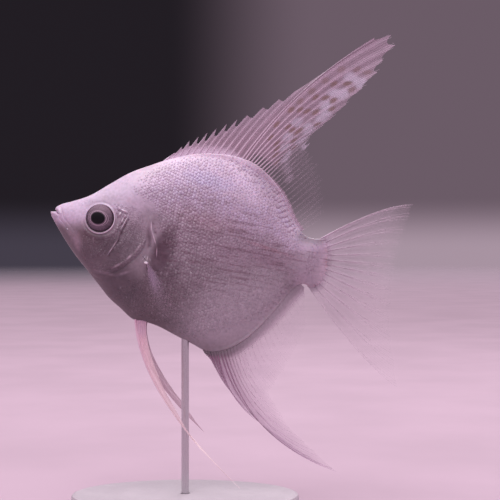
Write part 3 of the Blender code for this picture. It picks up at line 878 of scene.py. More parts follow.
@dataclass(frozen=True)
class ScaleFinish:
    """Small pearly scales: paler rims, a darker root, a glint that differs from scale to scale, painted pale
    and made smoother, and a painted violet sheen on the upper flank.
    """

    effects: SharedEffects
    name: str = "fish_scales"

    def make(self) -> bpy.types.Material:
        """Builds the material.

        Returns:
            The material.
        """
        material, tree, shader = new_material(self.name, Coat_Weight=0.2, Coat_Roughness=0.22)
        point = tree.add("TexCoord").outputs["Object"]
        marks = tree.use(self.effects.body, {"Point": point})
        along, across = tree.map("scale_face")
        chance, other = tree.map("scale_tone")
        mottle = tree.use(self.effects.mottle, {"Point": point, "Amount": 0.08})
        rim = tree.remap(along, 0.45, 0.95, 0.0, 1.0)
        tone = tree.times(tree.remap(chance, 0.0, 1.0, 0.91, 1.08), mottle.outputs["Tone"])
        tone = tree.times(tone, tree.remap(rim, 0.0, 1.0, 0.96, 1.06))
        glint = tree.times(tree.remap(other, 0.9, 1.0), tree.minus(1.0, rim))
        # painted iridescent sheen: a violet tint on some scales of the upper flank
        painted_sheen = tree.times(marks.outputs["Pearl"], tree.remap(chance, 0.3, 1.0, 0.0, 0.35))
        violet = tree.mix(painted_sheen, marks.outputs["Colour"], (0.42, 0.37, 0.58))
        colour = tree.mix(tree.times(glint, 0.18), tree.scaled(violet, tone), (0.76, 0.64, 0.74))
        tree.feed(shader.inputs["Base Color"], colour)
        tree.feed(shader.inputs["Roughness"], tree.remap(other, 0.0, 1.0, 0.46, 0.26))
        face = tree.add("CombineXYZ", {0: across, 1: along}).outputs[0]
        striae = tree.add("TexWave", {"Vector": face, "Scale": 3.2, "Distortion": 0.6}, bands_direction="X")
        tree.feed(shader.inputs["Normal"], tree.bump(striae.outputs["Fac"], 0.00003, 0.35))
        return material


@dataclass(frozen=True)
class EyeFinish:
    """A wet eye: black oval pupil, two thin pale rings, and a mauve iris with fine threads."""

    name: str = "wet_eye"
    pupil: tuple[float, float] = (2.08, 1.7)  # half axes, millimetres
    ring: tuple[float, float] = (2.42, 2.02)
    outer_ring: tuple[float, float] = (2.95, 2.22)
    iris: float = 3.95

    @staticmethod
    def oval(tree: NodeTree, x: Socket, y: Socket, half: tuple[float, float]) -> Socket:
        """Distance from the middle over that of an oval's edge, for half axes in millimetres."""
        return tree.hypot(tree.times(x, 1 / (METRES * half[0])), tree.times(y, 1 / (METRES * half[1])))

    def make(self) -> bpy.types.Material:
        """Builds the material, on the eye's own frame with z outwards.

        Returns:
            The material.
        """
        material, tree, shader = new_material(self.name, Coat_Weight=0.1, Coat_Roughness=0.03, Roughness=0.5,
                                              Specular_IOR_Level=0.1)
        point = tree.add("TexCoord").outputs["Object"]
        split = tree.add("SeparateXYZ", {0: point})
        x, y = split.outputs[0], split.outputs[1]
        reach = self.oval(tree, x, y, (1.0, 1.0))
        angle = tree.math("ARCTAN2", y, x)
        sine, cosine = tree.math("SINE", angle), tree.math("COSINE", angle)
        wheel = {0: tree.times(sine, 9.0), 1: tree.times(cosine, 9.0), 2: tree.times(reach, 0.7)}
        fibre = tree.noise(tree.add("CombineXYZ", wheel).outputs[0], 1.6, 4.0, 0.65)
        threads = tree.add("TexVoronoi", {"Vector": point, "Scale": 3200.0},
                           feature="DISTANCE_TO_EDGE").outputs[0]
        colour = tree.mix(tree.remap(fibre, 0.3, 0.7), (0.1, 0.068, 0.09), (0.215, 0.148, 0.196))
        colour = tree.mix(tree.remap(threads, 0.1, 0.02, 0.0, 0.4), colour, (0.085, 0.054, 0.08))
        colour = tree.mix(tree.remap(y, 0.0008, 0.0032, 0.0, 0.5), colour, (0.27, 0.165, 0.225))
        colour = tree.mix(tree.remap(y, -0.0008, -0.003, 0.0, 0.4), colour, (0.175, 0.125, 0.17))
        wobble = tree.times(tree.minus(fibre, 0.5), 0.05)
        for half, strength, width in ((self.outer_ring, 0.45, 0.038), (self.ring, 0.85, 0.042)):
            edge = tree.plus(self.oval(tree, x, y, half), wobble)
            away = tree.math("ABSOLUTE", tree.minus(edge, 1.0))
            colour = tree.mix(tree.remap(away, width, width * 0.3, 0.0, strength), colour, (0.62, 0.44, 0.54))
        outside = tree.remap(reach, self.iris - 0.12, self.iris + 0.02, 0.0, 0.55)
        colour = tree.mix(outside, colour, (0.075, 0.045, 0.068))
        pupil = tree.remap(self.oval(tree, x, y, self.pupil), 1.03, 0.95)
        colour = tree.mix(pupil, colour, (0.008, 0.006, 0.009))
        tree.feed(shader.inputs["Base Color"], colour)
        return material


@dataclass(frozen=True)
class Mark:
    """A soft oval on a fin: a ray's number, millimetres along it, and its half axes there."""

    number: float
    distance: float
    wide: float = 0.5
    long: float = 1.8
    strength: float = 0.68


def root_tone(tree: NodeTree, effects: SharedEffects, distance: Socket, cover: float, soft: float,
              colour: Socket) -> Socket:
    """Carries the body's own colours on to the root of a fin.

    Args:
        tree: the fin material's tree.
        effects: the shared groups.
        distance: millimetres from the fin's root.
        cover: how far the body's colour goes on.
        soft: over how many millimetres it gives way.
        colour: the fin's own colour.

    Returns:
        The joined colour.
    """
    body = tree.use(effects.body, {"Point": tree.add("TexCoord").outputs["Object"]})
    return tree.mix(tree.remap(distance, cover * 0.6, cover + soft, 1.0, 0.0), colour, body.outputs["Colour"])


@dataclass(frozen=True)
class FinFinish:
    """Thin, clear fin skin: fuller near the body, with fine lines along the rays.

    It reads the maps that Fin.maps gives.
    """

    effects: SharedEffects
    name: str
    root_colour: Colour
    edge_colour: Colour
    fullness: Sequence[tuple[float, float]]  # over the share from the first ray to the last
    fade: Sequence[tuple[float, float]]  # over the share from root to edge
    stripe_colour: Colour = (0.22, 0.12, 0.18)
    stripe: float = 0.4  # how strongly the skin midway between rays is darker
    stripe_from: float = 0.5  # millimetres beyond the covered part at which that is in full
    stripe_reach: float = 4.0  # share of the way to the edge at which it has died away
    sharpness: float = 1.4  # below 1 the darker stripes are narrow
    # where the skin is clearest: the first and last ray, and the nearest and farthest millimetre
    window: tuple[float, float, float, float] | None = None
    cover: float = 1.3  # millimetres from the root over which the body's own skin goes on
    soft: float = 1.4  # millimetres beyond it over which the fin turns clear
    long_root: tuple[float, float] | None = None  # rays between which both of these drop to a third
    lines: float = 5.0  # hair lines for each ray
    spots: tuple[Mark, ...] = ()
    spot_colour: Colour = (0.24, 0.125, 0.095)
    clouds: tuple[Mark, ...] = ()
    cloud_colour: Colour = (0.7, 0.61, 0.76)

    def marked(self, tree: NodeTree, number: Socket, distance: Socket, marks: tuple[Mark, ...]) -> Socket:
        """Joins many marks in one mask.

        Args:
            tree: the material's tree.
            number: the ray's number.
            distance: millimetres from the root.
            marks: the marks.

        Returns:
            The mask.
        """
        mask = None
        for mark in marks:
            inputs = {"Number": number, "Distance": distance, "At Number": mark.number,
                      "At Distance": mark.distance, "Wide": mark.wide, "Long": mark.long}
            one = tree.times(tree.use(self.effects.mark, inputs).outputs[0], mark.strength)
            mask = one if mask is None else tree.math("MAXIMUM", mask, one)
        return mask

    def make(self) -> bpy.types.Material:
        """Builds the material.

        Returns:
            The material.
        """
        material, tree, shader = new_material(self.name, Roughness=0.34, Coat_Weight=0.1, Coat_Roughness=0.2)
        ray, travel = tree.map("ray_map")
        number = tree.times(ray, RAYS_IN_MAP)
        distance = tree.times(travel, MILLIMETRES_IN_MAP)
        across, along = tree.map("edge_map")
        ribs = tree.use(self.effects.ribs, {"Ray": number, "Lines": self.lines, "Sharpness": self.sharpness})
        flow = tree.add("CombineXYZ", {0: tree.times(number, 2.4), 1: tree.times(distance, 0.22)})
        cloud = tree.noise(flow.outputs[0], 1.0, 3.0)
        colour = tree.mix(tree.remap(along, 0.05, 0.85), self.root_colour, self.edge_colour)
        depth = distance
        if self.long_root:
            depth = tree.times(distance, tree.remap(number, *self.long_root, 0.33, 1.0))
        colour = root_tone(tree, self.effects, depth, self.cover, self.soft, colour)
        covered = max(self.cover, 0.0)
        between = tree.times(
            tree.minus(1.0, ribs.outputs["Rib"]), tree.remap(along, 0.0, self.stripe_reach, 1.0, 0.0),
            tree.remap(depth, covered * 0.3, covered + self.stripe_from), self.stripe,
        )
        colour = tree.mix(between, colour, self.stripe_colour)
        full = tree.times(
            tree.curve(across, self.fullness), tree.curve(along, self.fade),
            tree.remap(ribs.outputs["Hair"], 0.0, 1.0, 0.8, 1.1), tree.remap(cloud, 0.25, 0.75, 0.82, 1.15),
        )
        if self.window:
            first, last, near, far = self.window
            clear = tree.times(
                tree.remap(number, first - 1.5, first + 2.5), tree.remap(number, last + 3.0, last - 3.0),
                tree.remap(distance, near, near + 0.4), tree.remap(distance, far + 2.0, far),
            )
            full = tree.times(full, tree.math("MULTIPLY_ADD", clear, -0.9, 1.0))
        if self.clouds:
            lined = tree.remap(ribs.outputs["Hair"], 0.0, 1.0, 0.65, 1.0)
            milky = tree.times(self.marked(tree, number, distance, self.clouds), lined)
            colour = tree.mix(milky, colour, self.cloud_colour)
            full = tree.math("MAXIMUM", full, tree.times(milky, 0.8))
        if self.spots:
            spot = self.marked(tree, number, distance, self.spots)
            colour = tree.mix(spot, colour, self.spot_colour)
            full = tree.math("MAXIMUM", full, tree.times(spot, 0.9))
        full = tree.math("MAXIMUM", full, tree.remap(depth, self.cover, self.cover + self.soft, 1.0, 0.0))
        tree.feed(shader.inputs["Base Color"], colour)
        tree.feed(shader.inputs["Alpha"], tree.math("MINIMUM", full, 0.98))
        tree.feed(shader.inputs["Normal"], tree.bump(ribs.outputs["Hair"], 0.00006, 0.5))
        return material


@dataclass(frozen=True)
class RayFinish:
    """Bony, jointed fin rays, paler and clearer towards their tips."""

    effects: SharedEffects
    name: str
    root_colour: Colour
    tip_colour: Colour
    fullness: Sequence[tuple[float, float]]  # over the share from the first ray to the last
    fade: Sequence[tuple[float, float]] = ((0, 1.0), (0.4, 0.9), (1, 0.5))  # over the share from root to tip
    cover: float = 1.0  # millimetres from the root over which the ray has the body's colour
    soft: float = 1.0  # millimetres beyond it over which that gives way
    lead: float | None = None  # the number of a paler ray that leads the fin's edge
    joint_gap: float = 0.8  # millimetres from joint to joint

    def make(self) -> bpy.types.Material:
        """Builds the material.

        Returns:
            The material.
        """
        material, tree, shader = new_material(self.name, Roughness=0.34, Coat_Weight=0.2, Coat_Roughness=0.2)
        across, along = tree.map("edge_map")
        ray, travel = tree.map("ray_map")
        distance = tree.times(travel, MILLIMETRES_IN_MAP)
        wave = tree.math("SINE", tree.times(distance, 2 * math.pi / self.joint_gap))
        joint = tree.math("MULTIPLY_ADD", wave, 0.5, 0.5)
        colour = tree.mix(tree.remap(along, 0.0, 0.9), self.root_colour, self.tip_colour)
        if self.lead is not None:
            away = tree.math("ABSOLUTE", tree.minus(tree.times(ray, RAYS_IN_MAP), self.lead))
            shown = tree.times(tree.remap(away, 0.9, 0.5), tree.remap(along, 0.4, 0.58))
            colour = tree.mix(shown, colour, (1.0, 0.9, 0.98))
        colour = tree.mix(tree.times(tree.remap(joint, 0.8, 1.0), 0.07), colour, (0.25, 0.15, 0.2))
        colour = root_tone(tree, self.effects, distance, self.cover, self.soft, colour)
        full = tree.times(tree.curve(across, self.fullness), tree.curve(along, self.fade))
        tree.feed(shader.inputs["Base Color"], colour)
        tree.feed(shader.inputs["Alpha"], full)
        tree.feed(shader.inputs["Normal"], tree.bump(joint, 0.00002, 0.15))
        return material


@dataclass(frozen=True)
class StoneFinish:
    """Honed pale stone: fine crystals, faint clouds and slightly worn polish."""

    effects: SharedEffects
    name: str = "honed_stone"

    def make(self) -> bpy.types.Material:
        """Builds the material.

        Returns:
            The material.
        """
        material, tree, shader = new_material(self.name)
        point = tree.add("TexCoord").outputs["Object"]
        mottle = tree.use(self.effects.mottle, {"Point": point, "Coarse": 90.0, "Fine": 1400.0,
                                                "Amount": 0.06})
        cells = tree.add("TexVoronoi", {"Vector": point, "Scale": 1500.0}).outputs["Distance"]
        veins = tree.remap(tree.noise(point, 55.0, 6.0, 0.7), 0.46, 0.54)
        colour = tree.mix(tree.times(veins, 0.25), (0.53, 0.46, 0.51), (0.43, 0.36, 0.415))
        colour = tree.mix(tree.remap(cells, 0.0, 0.25, 0.16, 0.0), colour, (0.32, 0.27, 0.31))
        tree.feed(shader.inputs["Base Color"], tree.scaled(colour, mottle.outputs["Tone"]))
        tree.feed(shader.inputs["Roughness"], tree.remap(mottle.outputs["Height"], 0.3, 0.7, 0.38, 0.52))
        tree.feed(shader.inputs["Normal"], tree.bump(cells, 0.00002, 0.4))
        return material


@dataclass(frozen=True)
class SteelFinish:
    """Satin steel drawn along its length."""

    name: str = "satin_steel"

    def make(self) -> bpy.types.Material:
        """Builds the material.

        Returns:
            The material.
        """
        material, tree, shader = new_material(self.name, Metallic=1.0)
        point = tree.add("TexCoord").outputs["Object"]
        drawn = tree.vector("MULTIPLY", point, (6000.0, 6000.0, 90.0))
        lines = tree.noise(drawn, 1.0, 3.0, 0.6)
        tree.feed(shader.inputs["Base Color"], tree.mix(lines, (0.5, 0.47, 0.5), (0.68, 0.65, 0.68)))
        tree.feed(shader.inputs["Roughness"], tree.remap(lines, 0.3, 0.7, 0.24, 0.42))
        tree.feed(shader.inputs["Normal"], tree.bump(lines, 0.00001, 0.3))
        return material


# ---------------------------------------------------------------- the body


@dataclass(frozen=True)
class Fold:
    """A groove or ridge that follows a line over the skin, in millimetres."""

    line: Line
    height: float  # outwards where positive
    width: float
    fade: float = 0.2  # share of the line over which each end dies away
    open_start: bool = False  # the line begins at full height

    def lift(self, x: Array, z: Array) -> Array:
        """How far the fold moves the skin outwards.

        Args:
            x: positions along the body.
            z: positions up the body.

        Returns:
            Millimetres, less than 0 in a groove.
        """
        away, along, _ = nearest_on_line(x, z, round_line(self.line))
        ends = smoothstep(1, 1 - self.fade, along)
        if not self.open_start:
            ends = ends * smoothstep(0, self.fade, along)
        return self.height * ends * np.exp(-((away / self.width) ** 2))


@dataclass(frozen=True)
class Pit:
    """A small dent or swelling in the skin, in millimetres."""

    x: float
    z: float
    radius: float
    height: float
    rim: float = 0.0

    def lift(self, x: Array, z: Array) -> Array:
        """How far it moves the skin outwards."""
        reach = np.hypot(x - self.x, z - self.z) / self.radius
        return self.height * np.exp(-(reach**2)) + self.rim * np.exp(-(((reach - 1.5) / 0.45) ** 2))


@dataclass(frozen=True)
class GillFlap:
    """The free rear edge of a gill cover, and the slit behind it."""

    line: Line = GILL_EDGE
    height: float = 0.2
    reach: float = 5.0
    slit: float = 0.28
    slit_width: float = 0.32

    def lift(self, x: Array, z: Array) -> Array:
        """How far it moves the skin outwards.

        Args:
            x: positions along the body.
            z: positions up the body.

        Returns:
            Millimetres, less than 0 in the slit.
        """
        away, along, side = nearest_on_line(x, z, round_line(self.line))
        ends = (0.06 + 0.94 * smoothstep(0.25, 0.5, along)) * smoothstep(0, 0.12, along)
        ends = ends * smoothstep(1, 0.8, along) * (1 - 0.55 * smoothstep(0.6, 0.82, along))
        inner = np.where(side < 0, np.exp(-away / self.reach) * smoothstep(0, 0.25, away), 0)
        groove = np.where(side < 0, 0, np.exp(-(((away - 0.12) / self.slit_width) ** 2)))
        return ends * (self.height * inner - self.slit * groove)


def fin_row(line: Curve, start: float, turn: float, end: float, spines: int, rays: int) -> Array:
    """Where a fin's rays meet the body.

    Args:
        line: the back or the belly, in shares of the length.
        start: the first ray's share of the length.
        turn: where the soft rays begin.
        end: the last ray.
        spines: how many spines there are.
        rays: how many rays there are in all.

    Returns:
        (number, x, z) for every ray, in shares.
    """
    x = np.interp(np.arange(rays), (0, spines, rays - 1), (start, turn, end))
    return np.stack([np.arange(rays), x, line(x)], 1)


DORSAL_ROOTS = fin_row(curve_through(BACK), 0.378, 0.64, 0.905, 12, 38)
ANAL_ROOTS = fin_row(curve_through(BELLY), 0.637, 0.695, 0.938, 6, 30)


@dataclass(frozen=True)
class Sheath:
    """The scaly band along a fin's base, ribbed by the ray bones under it."""

    roots: Array
    inside: float  # +1 where the body lies below the root line, -1 where it lies above
    depth: float  # how far the band reaches into the body, millimetres
    height: float = 0.1
    lean: float = 0.0

    def depth_at(self, x: Array, z: Array) -> tuple[Array, Array, Array]:
        """Where places lie beside the root line.

        Args:
            x: positions along the body.
            z: positions up the body.

        Returns:
            How deep in the body each place is, the ray's number, and the share along the line.
        """
        line = self.roots[:, 1:] * BODY_LENGTH
        away, along, side = nearest_on_line(x, z, line)
        lengths = np.concatenate([[0], np.cumsum(np.linalg.norm(np.diff(line, axis=0), axis=1))])
        number = np.interp(along * lengths[-1], lengths, self.roots[:, 0])
        return -away * side * self.inside, number, along

    def lift(self, x: Array, z: Array) -> Array:
        """How far it moves the skin outwards.

        Args:
            x: positions along the body.
            z: positions up the body.

        Returns:
            Millimetres.
        """
        deep, number, along = self.depth_at(x, z)
        band = smoothstep(self.depth, self.depth * 0.45, deep)
        ends = smoothstep(0.25, 0.5, along) * smoothstep(1, 0.96, along)
        return band * ends * self.height * np.cos(2 * math.pi * (number + self.lean * deep))


HEAD_DETAIL = (
    # the mouth, its two lips, and the folds of the jaw
    Fold(MOUTH_LINE, -0.75, 0.13, 0.25, open_start=True),
    Fold(((1.1, 1.75), (1.9, 1.7), (2.7, 0.9), (3.3, 0.0)), 0.2, 0.36, open_start=True),
    Fold(((-0.1, 0.3), (0.9, 0.25), (1.8, -0.15), (2.5, -0.85)), 0.18, 0.36, open_start=True),
    Fold(((1.7, 3.0), (2.7, 2.3), (3.5, 1.1), (4.1, -0.1), (4.6, -1.2)), -0.16, 0.22),
    Fold(((4.2, -0.4), (5.6, -1.5), (8.4, -3.9), (10.6, -6.6)), -0.14, 0.3),
    Fold(((2.4, -0.4), (4.0, -1.7), (5.7, -3.2), (7.6, -5.6), (9.4, -8.2)), -0.12, 0.22),
    Fold(((2.6, -1.1), (5.4, -4.0), (8.6, -8.1)), 0.06, 0.42),
    # wet folds behind the eye, and the two edges of the cheek bone
    Fold(((19.4, 5.3), (20.8, 4.6), (22.7, 4.25)), 0.34, 0.18),
    Fold(((20.2, 4.0), (20.8, 2.7)), 0.3, 0.2),
    Fold(((22.3, 3.7), (21.7, 1.8), (21.1, 0.2)), 0.32, 0.15),
    Fold(((23.1, 3.5), (22.4, 1.2), (21.6, -1.4), (21.3, -3.6), (20.4, -6.0), (18.9, -9.2)), 0.32, 0.17, 0.1),
    Fold(((23.5, 3.2), (22.9, 0.9), (22.1, -1.8), (21.8, -4.0), (20.9, -6.5), (19.4, -9.6)), -0.32, 0.2, 0.1),
    Fold(((21.5, -4.9), (20.9, -6.8), (19.9, -8.5)), 0.18, 0.16),
    Fold(((20.0, 1.4), (19.3, -1.4), (18.3, -5.0), (16.7, -8.4), (14.0, -10.2)), 0.06, 0.3),
    # bone under the gill cover, and the girdle behind it
    Fold(((28.1, -2.4), (27.6, -5.0), (25.6, -8.2), (22.6, -11.0), (19.0, -12.9)), 0.11, 0.45),
    Fold(((29.0, 4.6), (29.6, 2.7), (30.2, 0.5), (31.5, -1.6), (32.5, -4.2), (32.9, -6.6)), 0.26, 0.38, 0.1),
    Fold(((29.8, 3.6), (30.6, 1.2), (32.3, -1.4), (33.5, -4.6), (34.4, -8.0)), -0.18, 0.42),
    Fold(((29.4, 1.2), (30.1, -1.4), (30.6, -3.4), (30.5, -5.6)), -0.34, 0.42),
    Fold(((9.0, -11.4), (13.0, -13.9), (17.0, -15.9), (21.0, -15.6), (25.0, -13.0)), -0.1, 0.28),
    Fold(((11.0, -14.0), (15.0, -16.6), (19.0, -17.4), (23.0, -16.0)), -0.07, 0.28),
    # nostril, a pore on the jaw, the end of the jaw, and the root of the pectoral fin
    Pit(9.4, 4.6, 0.36, -0.14, 0.04),
    Pit(6.1, -3.5, 0.22, 0.16, -0.05),
    Pit(9.5, -7.7, 1.3, 0.05),
    Pit(30.4, -8.8, 1.1, 0.6),
    Pit(30.5, -8.9, 0.3, 0.22),
    GillFlap(),
)
SHEATHS = (Sheath(DORSAL_ROOTS, 1.0, 4.2, 0.045), Sheath(ANAL_ROOTS, -1.0, 2.6, 0.05))


@dataclass
class BodyForm:
    """The fish's body: its outlines, how thick it is, and the relief of its skin."""

    coat_depth: float = 0.12
    ridge: float = 0.34
    tail_end: float = 81.8
    back: Curve = field(default_factory=lambda: curve_through(BACK))
    belly: Curve = field(default_factory=lambda: curve_through(BELLY))
    widest: Curve = field(default_factory=lambda: curve_through(HALF_WIDTH))
    level: Curve = field(default_factory=lambda: curve_through(WIDEST_LEVEL))
    back_taper: Curve = field(default_factory=lambda: curve_through(BACK_TAPER))
    belly_taper: Curve = field(default_factory=lambda: curve_through(BELLY_TAPER))
    back_sheath: Curve = field(default_factory=lambda: curve_through(BACK_SHEATH))
    belly_sheath: Curve = field(default_factory=lambda: curve_through(BELLY_SHEATH))

    def top(self, x: Array) -> Array:
        """The back, in millimetres."""
        return self.back(x / BODY_LENGTH) * BODY_LENGTH

    def bottom(self, x: Array) -> Array:
        """The belly, in millimetres."""
        return self.belly(x / BODY_LENGTH) * BODY_LENGTH

    def top_edge(self, x: Array) -> Array:
        """The back with the scaly sheath of the dorsal fin on it."""
        return self.top(x) + self.back_sheath(x)

    def bottom_edge(self, x: Array) -> Array:
        """The belly with the scaly sheath of the anal fin on it."""
        return self.bottom(x) - self.belly_sheath(x)

    def middle(self, x: Array) -> Array:
        """The level at which the body is widest, in millimetres."""
        return self.level(x / BODY_LENGTH) * BODY_LENGTH

    def smooth_width(self, x: Array, z: Array) -> Array:
        """The half width without relief, as the solids have it, and over the fins' sheaths.

        Args:
            x: positions along the body.
            z: positions up the body.

        Returns:
            Millimetres from the middle plane.
        """
        top, low, middle = self.top(x), self.bottom(x), self.middle(x)
        above = z > middle
        share = np.where(above, (z - middle) / (top - middle), (middle - z) / (middle - low))
        share = np.clip(share, 0, 1)
        power = np.where(above, BACK_POWER, BELLY_POWER)
        part = x / BODY_LENGTH
        taper = np.where(above, self.back_taper(part), self.belly_taper(part))
        body = self.widest(part) * BODY_LENGTH * (1 - share**power) ** taper
        body = body * (1 - 0.96 * smoothstep(76.0, self.tail_end + 0.6, x))
        beyond = np.maximum(np.maximum(z - top, low - z), 0)
        thin = 0.36 - 0.16 * smoothstep(0, 1.6, beyond) - 0.28 * smoothstep(75.5, self.tail_end, x)
        edge = np.clip(np.minimum(self.top_edge(x) - z, z - self.bottom_edge(x)) / self.ridge, 0, 1)
        return np.hypot(body, thin) * np.sqrt(1 - (1 - edge) ** 2)

    def eye_rim(self, x: Array, z: Array) -> tuple[Array, Array]:
        """The rolled rim round the eye.

        Args:
            x: positions along the body.
            z: positions up the body.

        Returns:
            How far the rim lifts the skin, and how far each place is from the eye's middle.
        """
        reach = np.hypot((x - EYE_CENTRE[0]) * 0.975, (z - EYE_CENTRE[2]) * 1.03)
        lean = smoothstep(-2.5, 3.0, (x - EYE_CENTRE[0]) * 0.7 - (z - EYE_CENTRE[2]) * 0.55)
        rim = (0.17 + 0.13 * lean) * np.exp(-(((reach - 4.26) / 0.2) ** 2))
        rim -= 0.09 * np.exp(-(((reach - 4.85) / 0.28) ** 2))
        rim += 0.12 * np.exp(-(((reach - 5.5) / 0.4) ** 2)) * smoothstep(2.0, -3.0, z - EYE_CENTRE[2])
        return rim, reach

    def half_width(self, x: Array, z: Array) -> Array:
        """The half width of the finished skin.

        Args:
            x: positions along the body.
            z: positions up the body.

        Returns:
            Millimetres from the middle plane.
        """
        smooth = self.smooth_width(x, z)
        inner = np.clip(np.minimum(self.top(x) - z, z - self.bottom(x)) / 0.8, 0, 1)
        outer = np.clip(np.minimum(self.top_edge(x) - z, z - self.bottom_edge(x)) / 0.5, 0, 1)
        rim, reach = self.eye_rim(x, z)
        relief = sum(piece.lift(x, z) for piece in HEAD_DETAIL) + rim - self.coat_depth
        ribs = sum(sheath.lift(x, z) for sheath in SHEATHS)
        skin = smooth + relief * inner + ribs * outer
        socket = smoothstep(4.04, 3.72, reach)
        return np.maximum(skin - 1.9 * socket, np.minimum(smooth, 0.08))


@dataclass
class Skin:
    """One closed skin from the lips to the root of the tail fin."""

    form: BodyForm
    place: FishFrame
    head_step: float = 0.13
    trunk_step: float = 0.24
    rows: int = 236
    gap_depth: float = 0.35  # how far the skin draws back between the rays of the tail, millimetres

    def front(self, share: Array) -> Array:
        """How far back the front edge lies, from the upper lip at 0 to the lower lip at 1.

        Args:
            share: shares of the way from the upper edge to the lower one.

        Returns:
            Millimetres behind the snout tip.
        """
        knots = ((0.0, 1.35), (0.12, 1.1), (0.25, 1.22), (0.31, 1.6), (0.37, 0.85), (0.46, 0.25),
                 (0.62, -0.06), (0.8, 0.02), (1.0, 0.3))
        return curve_through(knots)(share)

    def build(self) -> bpy.types.Object:
        """Builds the skin's mesh.

        Returns:
            The object.
        """
        head = np.arange(0, 34, self.head_step)
        trunk = np.linspace(34, self.form.tail_end - 1.2, int(49.0 / self.trunk_step))
        end = self.form.tail_end - 1.2 * (1 - np.sin(np.linspace(0, 0.5, 9)[1:] * math.pi))
        stations = np.concatenate([[0, 0.02, 0.06], head[1:], trunk, end])
        level = np.linspace(0, 1, self.rows)
        share = level - 0.66 * np.sin(2 * math.pi * level) / (2 * math.pi)
        start = stations[:, None] * np.ones_like(share)[None]
        number = np.interp(share, (0.02, 0.14, 0.3, 0.6, 0.83, 0.9), (0, 1.6, 4.0, 8.0, 10.4, 12.0))
        wave = 0.5 - 0.5 * np.cos(2 * math.pi * number)
        gaps = self.gap_depth * wave ** 2 * (share > 0.02) * (share < 0.93)
        bend = np.where(share < 0.5, 2.4, 3.8) * (2 * share - 1) ** 2
        bulge = bend[None] * smoothstep(70.0, self.form.tail_end, start)
        bulge = bulge + gaps[None] * smoothstep(77.5, self.form.tail_end, start)
        x = start + self.front(share)[None] * smoothstep(4.5, 0, start) - bulge
        top, low = self.form.top_edge(x), self.form.bottom_edge(x)
        z = top + (low - top) * share[None]
        y = self.form.half_width(x, z)
        y = y * np.sqrt(1 - (1 - np.clip(start / 1.3, 0, 1)) ** 2)
        y = y * np.sqrt(1 - np.clip((start - self.form.tail_end) / 1.2 + 1, 0, 1) ** 2)
        y[:, 0] = y[:, -1] = 0
        y[0] = y[-1] = 0
        left = np.stack([x, -y, z], -1)
        right = np.stack([x, y, z], -1)[:, -2:0:-1]
        ring = np.concatenate([left, right], 1)
        columns, around = ring.shape[:2]
        faces = grid_faces(columns, around, wrap=True)
        skin = make_mesh("skin", self.place.place(ring.reshape(-1, 3)), [faces])
        v = np.concatenate([share, share[-2:0:-1]])
        u = stations / stations[-1] * 0.48
        left_u = np.broadcast_to(u[:, None], left.shape[:2])
        right_u = np.broadcast_to(0.5 + u[:, None], right.shape[:2])
        chart = np.stack([np.concatenate([left_u, right_u], 1), np.broadcast_to(v, ring.shape[:2])], -1)
        add_map(skin, "body_chart", chart.reshape(-1, 2))
        return skin


class Zone(Enum):
    """Where a coat of scales lies, and how small its scales are beside the flank's."""

    TRUNK = 1.0
    HEAD = 0.74


